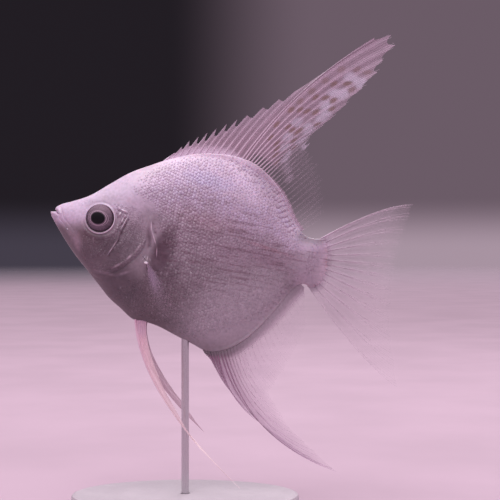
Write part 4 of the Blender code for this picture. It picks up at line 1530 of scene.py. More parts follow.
@dataclass
class ScaleCoat:
    """Overlapping scales over one side of one zone, joined into one mesh."""

    form: BodyForm
    place: FishFrame
    side: Side
    zone: Zone
    spacing: float = 0.84
    row_height: float = 0.9
    length: float = 1.5
    thickness: float = 0.04
    scatter: tuple[float, float] = (0.105, 0.095)  # how far roots stray along the body and up it
    stray: float = 0.15  # how far scales turn from the body's line
    bake_patch: float = 0.003  # across, in the map OFBake
    seed: int = 7

    def roots(self) -> tuple[Array, Array, Array]:
        """Where the scales grow, and how big each one is beside a flank scale.

        Returns:
            Positions along the body, positions up it, and sizes.
        """
        small = self.zone.value
        found = []
        x, column = 2.0, 0
        shrink = straight(((0, 0.85), (30, 0.92), (40, 1.0), (58, 1.0), (84, 0.78)))
        while x < 83.6:
            size = float(shrink(np.array(x))) * small
            rows = np.arange(-60, 61) + (0.5 if column % 2 else 0.0)
            z = float(self.form.middle(np.array(x))) + rows * self.row_height * size
            found.append(np.stack([np.full_like(z, x), z, np.full_like(z, size)], 1))
            x += self.spacing * size
            column += 1
        x, z, size = np.concatenate(found).T
        spread = np.clip(np.abs(z - self.form.middle(x)) / 27, 0, 1)
        size = size * (1 - 0.15 * spread**2)
        edge = self.to_edge(x, z)
        keep = edge > np.where(x < 48, np.where(z < 0, 1.3, 0.8), 0.5)
        size = size * (0.62 + 0.38 * smoothstep(0.4, 4.0, edge))
        gill, _, _ = nearest_on_line(x, z, round_line(GILL_EDGE))
        behind = self.is_behind_gill(x, z)
        if self.zone is Zone.TRUNK:
            keep &= behind & ((gill > 0.9) | (x > 30.5))
            chance = np.random.default_rng(self.seed).uniform(0, 1, len(x))
            keep &= (z > 8) | (z > 4.4 + 2.4 * chance - 1.2 * (x - 28.0)) | (
                x > 34.8 + 3.4 * chance + 1.3 * np.minimum(z + 8.0, 0))
            keep &= (z < 4) | (chance < 0.15 + (x - self.crown(z)) / 4.0)
            keep &= chance < (80.3 - x - 2.5 * (z / 8) ** 2) / 4.5
            size = size * np.where(z > 4, 0.8 + 0.2 * smoothstep(0.0, 6.0, x - self.crown(z)), 1.0)
        else:
            eye = np.hypot(x - EYE_CENTRE[0], z - EYE_CENTRE[2])
            keep &= ~behind & (eye > 5.5) & (gill > 0.5) & (x > 11.0) & (z < 6.0)
            bone, _, _ = nearest_on_line(x, z, np.array(CHEEK_BONE))
            keep &= bone > 0.45
        keep &= np.hypot(x - PECTORAL_ROOT[0], z - PECTORAL_ROOT[1]) > 1.7
        return x[keep], z[keep], size[keep]

    @staticmethod
    def crown(z: Array) -> Array:
        """Where the first scales stand behind the bare forehead."""
        return np.interp(z, (5.5, 8.3, 10.6, 14.0, 22.0), (28.6, 25.6, 22.6, 22.6, 27.0))

    @classmethod
    def is_behind_gill(cls, x: Array, z: Array) -> Array:
        """Whether a place is on the trunk, behind the head and its gill cover.

        Args:
            x: positions along the body.
            z: positions up the body.

        Returns:
            True for each place behind it.
        """
        levels = np.array(((9.5, -30.0), (11.0, -14.2), *GILL_EDGE[::-1][1:-1]), float)
        edge = np.interp(z, levels[:, 1], levels[:, 0])
        return x > np.where(z > 5.5, cls.crown(z), edge)

    def to_edge(self, x: Array, z: Array) -> Array:
        """How far places are below the skin's upper edge, or above its lower one."""
        return np.minimum(self.form.top_edge(x) - z, z - self.form.bottom_edge(x))

    def directions(self, x: Array, z: Array, turned: Array) -> tuple[Array, Array, Array]:
        """Which ways scales lie.

        Args:
            x: their roots along the body.
            z: their roots up the body.
            turned: how far each one turns from the body's line.

        Returns:
            Unit vectors along each scale, across it and out of the skin.
        """
        step = 0.25
        slope_x = (self.form.smooth_width(x + step, z) - self.form.smooth_width(x - step, z)) / (2 * step)
        slope_z = (self.form.smooth_width(x, z + step) - self.form.smooth_width(x, z - step)) / (2 * step)
        slope_x, slope_z = np.clip(slope_x, -1.5, 1.5), np.clip(slope_z, -2.5, 2.5)
        normal = np.stack([-slope_x, np.ones_like(x), -slope_z], 1)
        normal /= np.linalg.norm(normal, axis=1)[:, None]
        along = np.stack([np.ones_like(x), slope_x, turned], 1)
        along -= normal * np.sum(along * normal, 1)[:, None]
        along /= np.linalg.norm(along, axis=1)[:, None]
        return along, np.cross(normal, along), normal

    def relief(self, x: Array, z: Array) -> Array:
        """How far up scales stand: less at the body's edges, on the head, the rear flank and the girdle.

        Args:
            x: their roots along the body.
            z: their roots up the body.

        Returns:
            Shares of the full height.
        """
        raised = 0.34 if self.zone is Zone.HEAD else 0.3 + 0.7 * smoothstep(0.5, 9.0, x - self.crown(z))
        raised = raised * (0.35 + 0.65 * smoothstep(0.5, 3.5, self.to_edge(x, z)))
        raised = raised * (1 - 0.75 * smoothstep(36, 56, x)) * (1 - 0.8 * smoothstep(66, 77, x))
        girdle, _, _ = nearest_on_line(x, z, np.array(GIRDLE))
        return raised * (0.25 + 0.75 * smoothstep(0.3, 4.5, girdle))

    def build(self) -> bpy.types.Object:
        """Builds the coat's mesh, with its maps.

        Returns:
            The object.
        """
        rng = np.random.default_rng(self.seed + self.side.value + int(self.zone.value * 10))
        x, z, size = self.roots()
        x = x + rng.normal(0, self.scatter[0], len(x))
        z = z + rng.normal(0, self.scatter[1], len(z))
        along, across, normal = self.directions(x, z, rng.normal(0, self.stray, len(x)))
        centre = np.stack([x, self.form.half_width(x, z), z], 1)
        # one scale, seen from above: its middle, its round rear edge, and its two front corners
        angles = np.linspace(-90, 90, 9) * math.pi / 180
        rear = np.stack([0.06 + 0.44 * np.cos(angles), 0.5 * np.sin(angles)], 1)
        outline = np.concatenate([rear, [(-0.5, 0.46), (-0.5, -0.46)]])
        shape = np.concatenate([[(0.05, 0.0)], outline])
        swell = np.sin(0.55 * x + 0.8 * np.sin(0.43 * z)) * np.sin(0.6 * z + 1.3 * np.sin(0.31 * x))
        tilt = rng.uniform(0.7, 1.3, len(x)) * (0.74 + 0.26 * swell)
        length = (self.length * size * rng.uniform(0.95, 1.05, len(x)))[:, None]
        width = (1.62 * self.row_height * size)[:, None]
        height = np.where(shape[:, 0] > -0.4, 0.03 + 0.12 * np.maximum(shape[:, 0], 0), -0.1)
        height[0] = 0.07
        rise = height[None] * (tilt * size * self.relief(x, z))[:, None]
        rise = rise - 0.06 * np.abs(shape[None, :, 1]) * size[:, None]

        def lay(level: Array) -> Array:
            """Sets the outline on the skin at a height for every point."""
            return (centre[:, None] + along[:, None] * (shape[None, :, 0] * length)[..., None]
                    + across[:, None] * (shape[None, :, 1] * width)[..., None]
                    + normal[:, None] * level[..., None])

        points = np.concatenate([lay(rise), lay(rise - self.thickness)[:, 1:]], 1)
        points[..., 1] *= self.side.value
        per, rim = points.shape[1], len(outline)
        number = np.arange(rim)
        onward = (number + 1) % rim
        fan = np.stack([np.zeros(rim, int), 1 + number, 1 + onward], 1)
        wall = np.stack([1 + number, 1 + rim + number, 1 + rim + onward, 1 + onward], 1)[:len(rear)]
        if self.side is Side.RIGHT:
            fan, wall = fan[:, ::-1], wall[:, ::-1]
        base = (np.arange(len(x)) * per)[:, None, None]
        coat = make_mesh(
            f"scales_{self.zone.name.lower()}_{self.side.word}", self.place.place(points.reshape(-1, 3)),
            [(fan[None] + base).reshape(-1, 3), (wall[None] + base).reshape(-1, 4)],
        )
        face = np.concatenate([shape, outline])
        add_map(coat, "scale_face", np.tile(face + 0.5, (len(x), 1)))
        add_map(coat, "scale_tone", np.repeat(rng.uniform(0, 1, (len(x), 2)), per, axis=0))
        top, low = self.form.top(x), self.form.bottom(x)
        u = 0.02 + 0.45 * x / 85 + (0.5 if self.side is Side.RIGHT else 0.0)
        chart = np.stack([u, 0.01 + 0.98 * (top - z) / (top - low)], 1)
        add_map(coat, "OFBake", (chart[:, None] + face[None] * self.bake_patch).reshape(-1, 2))
        return coat


@dataclass
class Body:
    """The fish's flesh: skin and coats of scales."""

    place: FishFrame
    effects: SharedEffects
    form: BodyForm = field(default_factory=BodyForm)

    def build(self) -> None:
        """Builds and dresses the skin and its scales."""
        skin = Skin(self.form, self.place).build()
        put_on(skin, "skin", SkinFinish(self.effects).make(), "head", "lower_jaw", "gill_cover_left",
               "gill_cover_right", "trunk", "tail_stalk")
        scales = ScaleFinish(self.effects).make()
        for zone in Zone:
            for side in Side:
                put_on(ScaleCoat(self.form, self.place, side, zone).build(), "skin", scales)


@dataclass
class Eye:
    """One eyeball, with its own frame: z looks out of the head, and y is up."""

    place: FishFrame
    side: Side

    def build(self, material: bpy.types.Material) -> None:
        """Builds and dresses the eye.

        Args:
            material: the wet eye's finish.
        """
        rings, around = 34, 72
        polar = np.linspace(0, math.pi, rings)
        turn = np.linspace(0, 2 * math.pi, around, endpoint=False)
        radius = EYE_RADIUS * np.sin(polar)
        out = EYE_DEPTH * np.cos(polar)
        out = out + 0.06 * smoothstep(2.3, 1.6, radius) * (out > 0)
        points = np.stack([
            radius[:, None] * np.cos(turn), radius[:, None] * np.sin(turn), out[:, None] * np.ones_like(turn),
        ], -1).reshape(-1, 3) * METRES
        eye = make_mesh(f"eyeball_{self.side.word}", points, [grid_faces(rings, around, wrap=True)])
        sign = self.side.value
        local = Matrix.Rotation(sign * EYE_TURN, 4, "Z") @ Matrix.Rotation(-sign * math.pi / 2, 4, "X")
        if sign > 0:
            local = local @ Matrix.Rotation(math.pi, 4, "Z")
        centre = self.place.place(np.array((EYE_CENTRE[0], sign * EYE_CENTRE[1], EYE_CENTRE[2])))
        eye.matrix_world = Matrix.Translation(Vector(centre)) @ Matrix.Rotation(HEAD_UP, 4, "Y") @ local
        put_on(eye, "eye", material, f"eye_{self.side.word}")


# ---------------------------------------------------------------- fins


@dataclass
class Fin:
    """A fin: clear skin between jointed rays. Curves take a ray's number from the front.

    Roots and tips are (number, x, z) in shares of the body's length. The first rays are
    spines, whose points stand clear of the skin.
    """

    name: str
    slot: str
    place: FishFrame
    roots: Curve
    tips: Curve
    rays: int
    bow: Curve
    sway: Curve
    root_y: Curve = field(default_factory=lambda: straight(((0, 0), (1, 0))))
    bend_at: float = 0.5
    spines: int = 0
    notch: float = 0.4
    spine_notch: float = 2.4
    spine_free: float = 0.9  # how far a spine's point stands out of the skin behind it
    sunk: float = 1.6
    spine_radius: float = 0.26
    ray_radius: float = 0.2
    tip_radius: float = 0.05
    branches: Sequence[tuple[float, float]] = ((0.45, 0.19),)  # (share along, spread in ray spacings)
    ripple: float = 0.25
    fray: float = 0.5  # how unevenly the soft rays end, millimetres
    steps: int = 22
    seed: int = 3

    def __post_init__(self) -> None:
        """Draws the uneven ends of the soft rays."""
        rng = np.random.default_rng(self.seed)
        self.short = np.where(np.arange(self.rays) < self.spines, 0, rng.uniform(0, self.fray, self.rays))
        self.rng = rng

    def at(self, number: Array, share: Array) -> Array:
        """Points of the fin's sheet, in the fish's frame.

        Args:
            number: ray numbers, which may fall between rays.
            share: shares of the way from root to tip.

        Returns:
            The points, in millimetres.
        """
        number, share = np.broadcast_arrays(np.asarray(number, float), np.asarray(share, float))
        root, tip = self.roots(number), self.tips(number)
        chord = tip - root
        short = np.interp(number, np.arange(self.rays), self.short)
        share = share * (1 - short / (np.linalg.norm(chord, axis=-1) * BODY_LENGTH))
        side = np.stack([chord[..., 1], -chord[..., 0]], -1)
        middle = root + self.bend_at * chord + 2 * self.bow(number)[..., None] * side
        s = share[..., None]
        flat = (root * (1 - s) ** 2 + middle * 2 * s * (1 - s) + tip * s**2) * BODY_LENGTH
        grown = np.clip(share, 0, 1.2)
        y = (self.root_y(number) + self.sway(number) * grown**1.6) * BODY_LENGTH
        y = y + self.ripple * grown * np.sin(number * 0.9 + 5 * grown) * np.cos(number * 0.23)
        return np.stack([flat[..., 0], y, flat[..., 1]], -1)

    def lengths(self, number: Array) -> Array:
        """How long rays are, in millimetres."""
        return np.linalg.norm(self.tips(number) - self.roots(number), axis=-1) * BODY_LENGTH

    def maps(self, number: Array, share: Array) -> tuple[Array, Array]:
        """What the fin's two maps hold.

        Args:
            number: ray numbers of points on the fin.
            share: their shares of the way from root to tip.

        Returns:
            For ray_map, the ray's number and the millimetres from its root, in the map's units;
            for edge_map, the share from the first ray to the last, and from root to tip.
        """
        ray = np.stack([number / RAYS_IN_MAP, share * self.lengths(number) / MILLIMETRES_IN_MAP], -1)
        edge = np.stack([number / (self.rays - 1), share], -1)
        return ray.reshape(-1, 2), edge.reshape(-1, 2)

    def thickness(self, share: Array, part: float = 1.0) -> Array:
        """The radius of a soft ray, or of a branch that is only part as thick."""
        taper = (1 - np.clip(share, 0, 1)) ** 1.3
        return self.tip_radius + (self.ray_radius - self.tip_radius) * taper * part

    def skin_edge(self, low: int, part: Array) -> Array:
        """Where the skin between two rays ends, as shares of the way to their tips.

        Args:
            low: the front ray's number.
            part: shares of the way to the next ray.

        Returns:
            The shares.
        """
        number = low + part
        length = self.lengths(number)
        sag = 4 * part * (1 - part)
        if low < self.spines - 1:
            first, second = self.lengths(np.array([low, low + 1], float))
            fall = np.clip(part / 0.5, 0, 1)
            end = (1 - fall) * (first - self.spine_free) + fall * max(second - self.spine_notch, 0.5 * second)
            return end / length
        return 1 - self.notch * sag / length

    def membrane(self) -> bpy.types.Object:
        """Builds the skin between the rays, one panel for each gap.

        Returns:
            The object.
        """
        part = np.linspace(0, 1, 7)
        points, rays, edges, faces, count = [], [], [], [], 0
        for low in range(self.rays - 1):
            start = -self.sunk / self.lengths(np.array([low + 0.5]))[0]
            end = self.skin_edge(low, part)
            share = start + np.linspace(0, 1, self.steps)[None] * (end - start)[:, None]
            number = (low + part)[:, None] * np.ones_like(share)
            points.append(self.at(number, share).reshape(-1, 3))
            ray, edge = self.maps(number, share)
            rays.append(ray)
            edges.append(edge)
            faces.append(grid_faces(len(part), self.steps) + count)
            count += share.size
        skin = make_mesh(f"{self.name}_skin", self.place.place(np.concatenate(points)),
                         [np.concatenate(faces)])
        add_map(skin, "ray_map", np.concatenate(rays))
        add_map(skin, "edge_map", np.concatenate(edges))
        return skin

    def ray_paths(self) -> list[tuple[Array, Array, Array]]:
        """The middle line of every ray and branch.

        Returns:
            (numbers, shares, radii) along each one.
        """
        paths = []
        for number in range(self.rays):
            length = self.lengths(np.array([float(number)]))[0]
            start = -self.sunk / length
            if number < self.spines:
                share = np.linspace(start, 1.0, 16)
                taper = np.clip(1 - share, 0, 1) ** 0.7
                paths.append((np.full(16, float(number)), share, self.spine_radius * taper + 0.035))
                continue
            stem_end = self.branches[0][0] if self.branches else 1.0
            share = np.linspace(start, stem_end + (0.02 if self.branches else 0), 14)
            paths.append((np.full(14, float(number)), share, self.thickness(share)))
            twigs = [(float(number), stem_end)] if self.branches else []
            for level, (fork, spread) in enumerate(self.branches):
                stop = self.branches[level + 1][0] if level + 1 < len(self.branches) else 1.0
                grown = []
                for middle, _ in twigs:
                    for way in (-1, 1):
                        last = stop + 0.01 if stop < 1 else 1 + self.rng.uniform(-0.03, 0.012)
                        share = np.linspace(fork, last, 14)
                        part = (share - fork) / (1.0 - fork)
                        offset = way * spread * np.minimum(part * 1.25, 1) ** 0.8
                        line = np.clip(middle + offset, 0, self.rays - 1)
                        paths.append((line, share, self.thickness(share, 0.8)))
                        grown.append((line[-1] if stop < 1 else middle, stop))
                twigs = grown
        return paths

    def build(self, skin: bpy.types.Material, bone: bpy.types.Material, solid: str) -> None:
        """Builds and dresses the fin.

        Args:
            skin: the finish of the clear skin.
            bone: the finish of the rays.
            solid: the solid that the fin replaces.
        """
        put_on(self.membrane(), self.slot, skin, solid)
        lines, radii, squares, maps = [], [], [], []
        for number, share, radius in self.ray_paths():
            lines.append(self.place.place(self.at(number, share)))
            radii.append(radius * METRES)
            ahead = self.at(number + 0.2, share) - self.at(number - 0.2, share)
            along = np.gradient(self.at(number, share), axis=0)
            square = np.cross(ahead, along)
            square /= np.linalg.norm(square, axis=1)[:, None]
            squares.append(self.place.turn(square))
            maps.append(self.maps(number, share))
        rays = tubes(f"{self.name}_rays", lines, radii, squares)
        for name, values in zip(("ray_map", "edge_map"), zip(*maps)):
            add_map(rays, name, np.repeat(np.concatenate(values), RAY_SIDES, axis=0))
        put_on(rays, self.slot, bone)


DORSAL_SPOTS = (
    Mark(13.5, 15.0), Mark(15.5, 16.4), Mark(16.5, 16.2), Mark(17.5, 17.6, long=2.8), Mark(18.5, 14.4),
    Mark(20.5, 12.8), Mark(14.5, 10.8), Mark(16.5, 10.2), Mark(17.5, 9.2), Mark(18.5, 7.2), Mark(20.5, 5.7),
    Mark(13.5, 21.1), Mark(14.5, 22.9), Mark(15.5, 23.7), Mark(16.5, 25.0), Mark(18.5, 23.0),
    Mark(13.5, 24.8, strength=0.45), Mark(14.5, 28.9), Mark(15.5, 30.5), Mark(16.5, 31.3), Mark(17.5, 29.6),
    Mark(13.5, 29.4, strength=0.45), Mark(13.5, 34.6, strength=0.4), Mark(14.5, 35.8), Mark(15.5, 38.4),
    Mark(16.5, 37.7, strength=0.45), Mark(13.5, 40.4, strength=0.35), Mark(14.5, 44.0, strength=0.4),
    Mark(15.5, 45.2, strength=0.4),
)
DORSAL_CLOUDS = tuple(
    Mark(number, distance, wide=1.2, long=2.6, strength=0.82 if number < 23 else 0.45)
    for number, distance in (
        (15.9, 19.1), (17.9, 20.3), (19.0, 19.1), (17.7, 27.2), (18.1, 25.1), (17.0, 14.0), (18.4, 10.9),
        (20.9, 10.3), (21.7, 8.1), (23.2, 6.9), (24.5, 6.7), (26.2, 5.2), (19.8, 15.0), (20.1, 16.0),
        (22.7, 15.3), (16.4, 34.8), (16.2, 41.0), (16.5, 28.8), (15.7, 33.5), (15.0, 40.8),
    )
)


@dataclass
class Fins:
    """All seven fins."""

    place: FishFrame
    effects: SharedEffects

    def dorsal(self) -> None:
        """The tall fin along the back, with rows of tan spots."""
        fin = Fin(
            "dorsal_fin", "dorsal_fin", self.place, roots=curve_through(DORSAL_ROOTS),
            tips=straight((
                (0, 0.402, 0.298), (2, 0.446, 0.35), (5, 0.534, 0.412), (8, 0.636, 0.481),
                (11, 0.79, 0.598), (12, 1.047, 0.852), (13, 1.11, 0.877), (14, 1.135, 0.845),
                (15.2, 1.1, 0.775), (16.5, 1.065, 0.698), (18.4, 0.978, 0.571), (20.2, 0.902, 0.483),
                (22, 0.878, 0.446), (25, 0.894, 0.399), (29, 0.932, 0.344), (33, 0.968, 0.272),
                (37, 0.985, 0.178),
            )),
            rays=38, spines=12, spine_notch=4.4, spine_free=0.1, spine_radius=0.2, notch=2.0, fray=2.2,
            bow=straight(((0, 0.0), (11, -0.03), (12.7, -0.07), (16.5, -0.05), (20, -0.02), (24, 0.0),
                          (37, 0.0))),
            sway=straight(((0, 0.0), (11, 0.006), (13, 0.02), (20.5, 0.006), (37, 0.0))),
            branches=((0.5, 0.2),),
        )
        skin = FinFinish(
            self.effects, "dorsal_fin_skin", (0.62, 0.43, 0.54), (0.54, 0.4, 0.5),
            fullness=((0, 0.94), (0.3, 0.92), (0.42, 0.86), (0.5, 0.66), (0.56, 0.4), (0.63, 0.16),
                      (0.74, 0.07), (1, 0.05)),
            fade=((0, 0.95), (0.3, 0.97), (0.8, 1.0), (1, 0.85)), window=(13.5, 33.0, 0.6, 3.4),
            stripe_colour=(0.18, 0.1, 0.148), stripe=0.56, cover=0.7, soft=0.9,
            long_root=(9.0, 15.0), spots=DORSAL_SPOTS, clouds=DORSAL_CLOUDS,
        )
        bone = RayFinish(self.effects, "dorsal_fin_bone", (0.72, 0.54, 0.66), (0.78, 0.62, 0.75),
                         fullness=((0, 1.0), (0.4, 0.9), (0.5, 0.72), (0.57, 0.38), (0.66, 0.14),
                                   (0.78, 0.08), (1, 0.04)),
                         fade=((0, 1.0), (0.2, 0.95), (0.45, 0.6), (0.7, 0.42), (1, 0.3)), lead=12.0)
        fin.build(skin.make(), bone.make(), "dorsal_fin")

    def anal(self) -> None:
        """The swept fin below the tail stalk."""
        fin = Fin(
            "anal_fin", "anal_fin", self.place, roots=curve_through(ANAL_ROOTS),
            tips=straight((
                (0, 0.652, -0.405), (1, 0.683, -0.428), (3, 0.76, -0.515), (5, 0.872, -0.602),
                (6, 1.065, -0.686), (7, 1.191, -0.726), (8, 1.11, -0.676), (10, 0.992, -0.6),
                (13, 0.9, -0.5), (17, 0.93, -0.425), (21, 0.965, -0.335), (25, 0.99, -0.235),
                (29, 0.955, -0.098),
            )),
            rays=30, spines=6, spine_notch=2.4, seed=4,
            bow=straight(((0, 0.03), (5, 0.1), (7, 0.14), (13, 0.1), (20, 0.05), (29, 0.0))),
            sway=straight(((0, 0.0), (5, -0.01), (7, -0.035), (13, -0.01), (29, 0.0))),
            branches=((0.5, 0.2),),
        )
        skin = FinFinish(
            self.effects, "anal_fin_skin", (0.42, 0.265, 0.375), (0.56, 0.39, 0.53),
            fullness=((0, 0.92), (0.2, 0.9), (0.26, 0.78), (0.3, 0.62), (0.36, 0.52), (0.5, 0.42),
                      (0.7, 0.2), (1, 0.05)),
            fade=((0, 1.0), (0.15, 0.95), (0.35, 0.85), (0.6, 0.7), (0.85, 0.46), (1, 0.1)), stripe=0.2,
            cover=1.2, soft=4.2,
        )
        bone = RayFinish(self.effects, "anal_fin_bone", (0.34, 0.16, 0.265), (0.54, 0.35, 0.485),
                         fullness=((0, 0.9), (0.21, 0.75), (0.27, 0.44), (0.33, 0.27), (0.45, 0.13),
                                   (0.65, 0.07), (1, 0.05)),
                         fade=((0, 1.0), (0.3, 0.75), (0.6, 0.5), (1, 0.3)))
        fin.build(skin.make(), bone.make(), "anal_fin")

    def tail(self) -> None:
        """The fanned tail fin."""
        fin = Fin(
            "tail_fin", "tail_fin", self.place,
            roots=straight((
                (0, 0.985, 0.094), (1.6, 1.002, 0.068), (4, 1.01, 0.034),
                (8, 1.008, -0.03), (10.4, 0.998, -0.078), (12, 0.968, -0.092),
            )),
            tips=straight((
                (0, 1.291, 0.275), (0.8, 1.289, 0.24), (2.4, 1.276, 0.158), (4, 1.267, 0.078),
                (6.4, 1.268, -0.022), (8.8, 1.283, -0.135), (10.4, 1.31, -0.243), (12, 1.361, -0.396),
            )),
            rays=13, seed=5,
            bow=straight(((0, -0.055), (1.6, -0.05), (4, -0.018), (8, 0.01), (12, 0.04))), bend_at=0.7,
            sway=straight(((0, 0.035), (12, 0.05))),
            ray_radius=0.17, sunk=2.6, branches=((0.22, 0.2), (0.55, 0.11)), notch=0.8,
        )
        skin = FinFinish(
            self.effects, "tail_fin_skin", (0.58, 0.45, 0.55), (0.74, 0.6, 0.7),
            fullness=((0, 0.9), (0.08, 0.68), (0.5, 0.54), (0.8, 0.4), (1, 0.34)),
            fade=((0, 1.0), (0.15, 0.95), (0.35, 0.66), (0.6, 0.44), (0.85, 0.2), (1, 0.08)), lines=9.0,
            cover=0.4, soft=2.2,
            stripe=0.7, stripe_colour=(0.18, 0.122, 0.165), stripe_from=6.0, stripe_reach=0.95,
            sharpness=0.32,
        )
        bone = RayFinish(self.effects, "tail_fin_bone", (0.6, 0.46, 0.56), (0.7, 0.56, 0.66),
                         fullness=((0, 1.0), (0.08, 0.85), (0.5, 0.7), (0.85, 0.35), (1, 0.14)),
                         fade=((0, 1.0), (0.3, 0.8), (0.6, 0.5), (0.85, 0.25), (1, 0.1)), cover=0.6, soft=3.0)
        fin.build(skin.make(), bone.make(), "tail_fin")

    def pelvics(self) -> None:
        """The two pink ribbons below the belly."""
        tips = {
            Side.LEFT: ((0, 0.856, -0.84), (1, 0.69, -0.728), (2, 0.628, -0.668), (3, 0.582, -0.612),
                        (4, 0.537, -0.56), (5, 0.497, -0.505)),
            Side.RIGHT: ((0, 0.69, -0.703), (1, 0.65, -0.667), (2, 0.597, -0.612), (3, 0.55, -0.568),
                         (4, 0.506, -0.521), (5, 0.465, -0.474)),
        }
        splay = {Side.LEFT: 0.06, Side.RIGHT: 0.15}
        # The left ribbon faces the camera and the right one lies behind it: the right's colours are darker
        # copies of the left's, painted shade, and the left's pink is pushed paler, partly painted light
        # coming through the thin fin
        lit_and_shaded_bone_root = {Side.LEFT: (0.8, 0.54, 0.66), Side.RIGHT: (0.58, 0.4, 0.5)}
        lit_and_shaded_tints = {Side.LEFT: ((0.93, 0.58, 0.68), (0.98, 0.76, 0.8)),
                 Side.RIGHT: ((0.6, 0.39, 0.48), (0.66, 0.45, 0.54))}
        for side in Side:
            sign = side.value
            skin = FinFinish(
                self.effects, f"pelvic_fin_skin_{side.word}", *lit_and_shaded_tints[side],
                fullness=((0, 0.97), (0.5, 0.95), (1, 0.85)), fade=((0, 1.0), (0.5, 0.95), (1, 0.85)),
                stripe=0.06, stripe_colour=(0.56, 0.28, 0.36), cover=-2.0, soft=1.5,
                clouds=(Mark(2.5, 1.0, wide=4.5, long=5.5, strength=0.8),), cloud_colour=(0.68, 0.48, 0.66),
            )
            bone = RayFinish(self.effects, f"pelvic_fin_bone_{side.word}", lit_and_shaded_bone_root[side], lit_and_shaded_tints[side][1],
                             fullness=((0, 1.0), (0.5, 0.9), (1, 0.8)),
                             fade=((0, 1.0), (0.6, 1.0), (1, 0.85)), cover=-2.0)
            fin = Fin(
                f"pelvic_fin_{side.word}", "pelvic_fin", self.place,
                roots=straight(((0, 0.376, -0.33), (5, 0.414, -0.33))), tips=straight(tips[side]), rays=6,
                bow=straight(((0, 0.088), (2, 0.082), (5, 0.055))), bend_at=0.32,
                root_y=straight(((0, sign * 0.016), (5, sign * 0.022))),
                sway=straight(((0, sign * splay[side]), (5, sign * splay[side] * 0.6))),
                spines=1, notch=0.0, sunk=1.8, spine_radius=0.3, ray_radius=0.16, ripple=0.1, steps=34,
                branches=(), fray=0.0,
            )
            fin.build(skin.make(), bone.make(), f"pelvic_fin_{side.word}")

    def pectorals(self, form: BodyForm) -> None:
        """The soft fans folded back behind the gill covers.

        Args:
            form: the body that they lie on.
        """
        skin = FinFinish(
            self.effects, "pectoral_fin_skin", (0.4, 0.27, 0.42), (0.46, 0.34, 0.44),
            fullness=((0, 0.1), (0.12, 0.6), (0.4, 0.65), (0.65, 0.25), (1, 0.04)),
            fade=((0, 0.9), (0.25, 0.95), (0.42, 0.6), (0.62, 0.22), (1, 0.05)), stripe=0.12, cover=0.3,
            soft=0.6,
        ).make()
        bone = RayFinish(self.effects, "pectoral_fin_bone", (0.6, 0.43, 0.54), (0.46, 0.34, 0.44),
                         fullness=((0, 0.3), (0.3, 0.35), (0.7, 0.15), (1, 0.1)), cover=0.3,
                         fade=((0, 0.9), (0.25, 0.5), (0.5, 0.2), (1, 0.07))).make()
        roots = ((0, 0.376, -0.1), (9, 0.388, -0.126))
        for side in Side:
            sign = side.value
            out = [float(form.smooth_width(np.array(x) * BODY_LENGTH,
                                           np.array(z) * BODY_LENGTH)) / BODY_LENGTH
                   for _, x, z in roots]
            fin = Fin(
                f"pectoral_fin_{side.word}", "pectoral_fin", self.place, roots=straight(roots),
                tips=straight(((0, 0.505, -0.215), (2, 0.513, -0.262), (4, 0.5, -0.297), (6, 0.473, -0.309),
                               (9, 0.43, -0.265))),
                rays=10, bow=straight(((0, 0.0), (9, 0.03))),
                root_y=straight(((0, sign * (out[0] + 0.003)), (9, sign * (out[1] + 0.003)))),
                sway=straight(((0, sign * 0.045), (9, sign * 0.03))),
                sunk=1.2, ray_radius=0.13, tip_radius=0.035, ripple=0.15, branches=((0.5, 0.18),), seed=6,
            )
            fin.build(skin, bone, f"pectoral_fin_{side.word}")


# ---------------------------------------------------------------- stand and studio


@dataclass
class Stand:
    """The oval base and the rod: the solids stay, and get their finishes."""

    effects: SharedEffects

    def build(self) -> None:
        """Dresses the base and the rod."""
        for name, finish in (("stand_base", StoneFinish(self.effects)), ("stand_rod", SteelFinish())):
            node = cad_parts[name]
            material = finish.make()
            for slot in node.material_slots:
                slot.material = material
            LOG.info("%s dressed in %s", name, material.name)


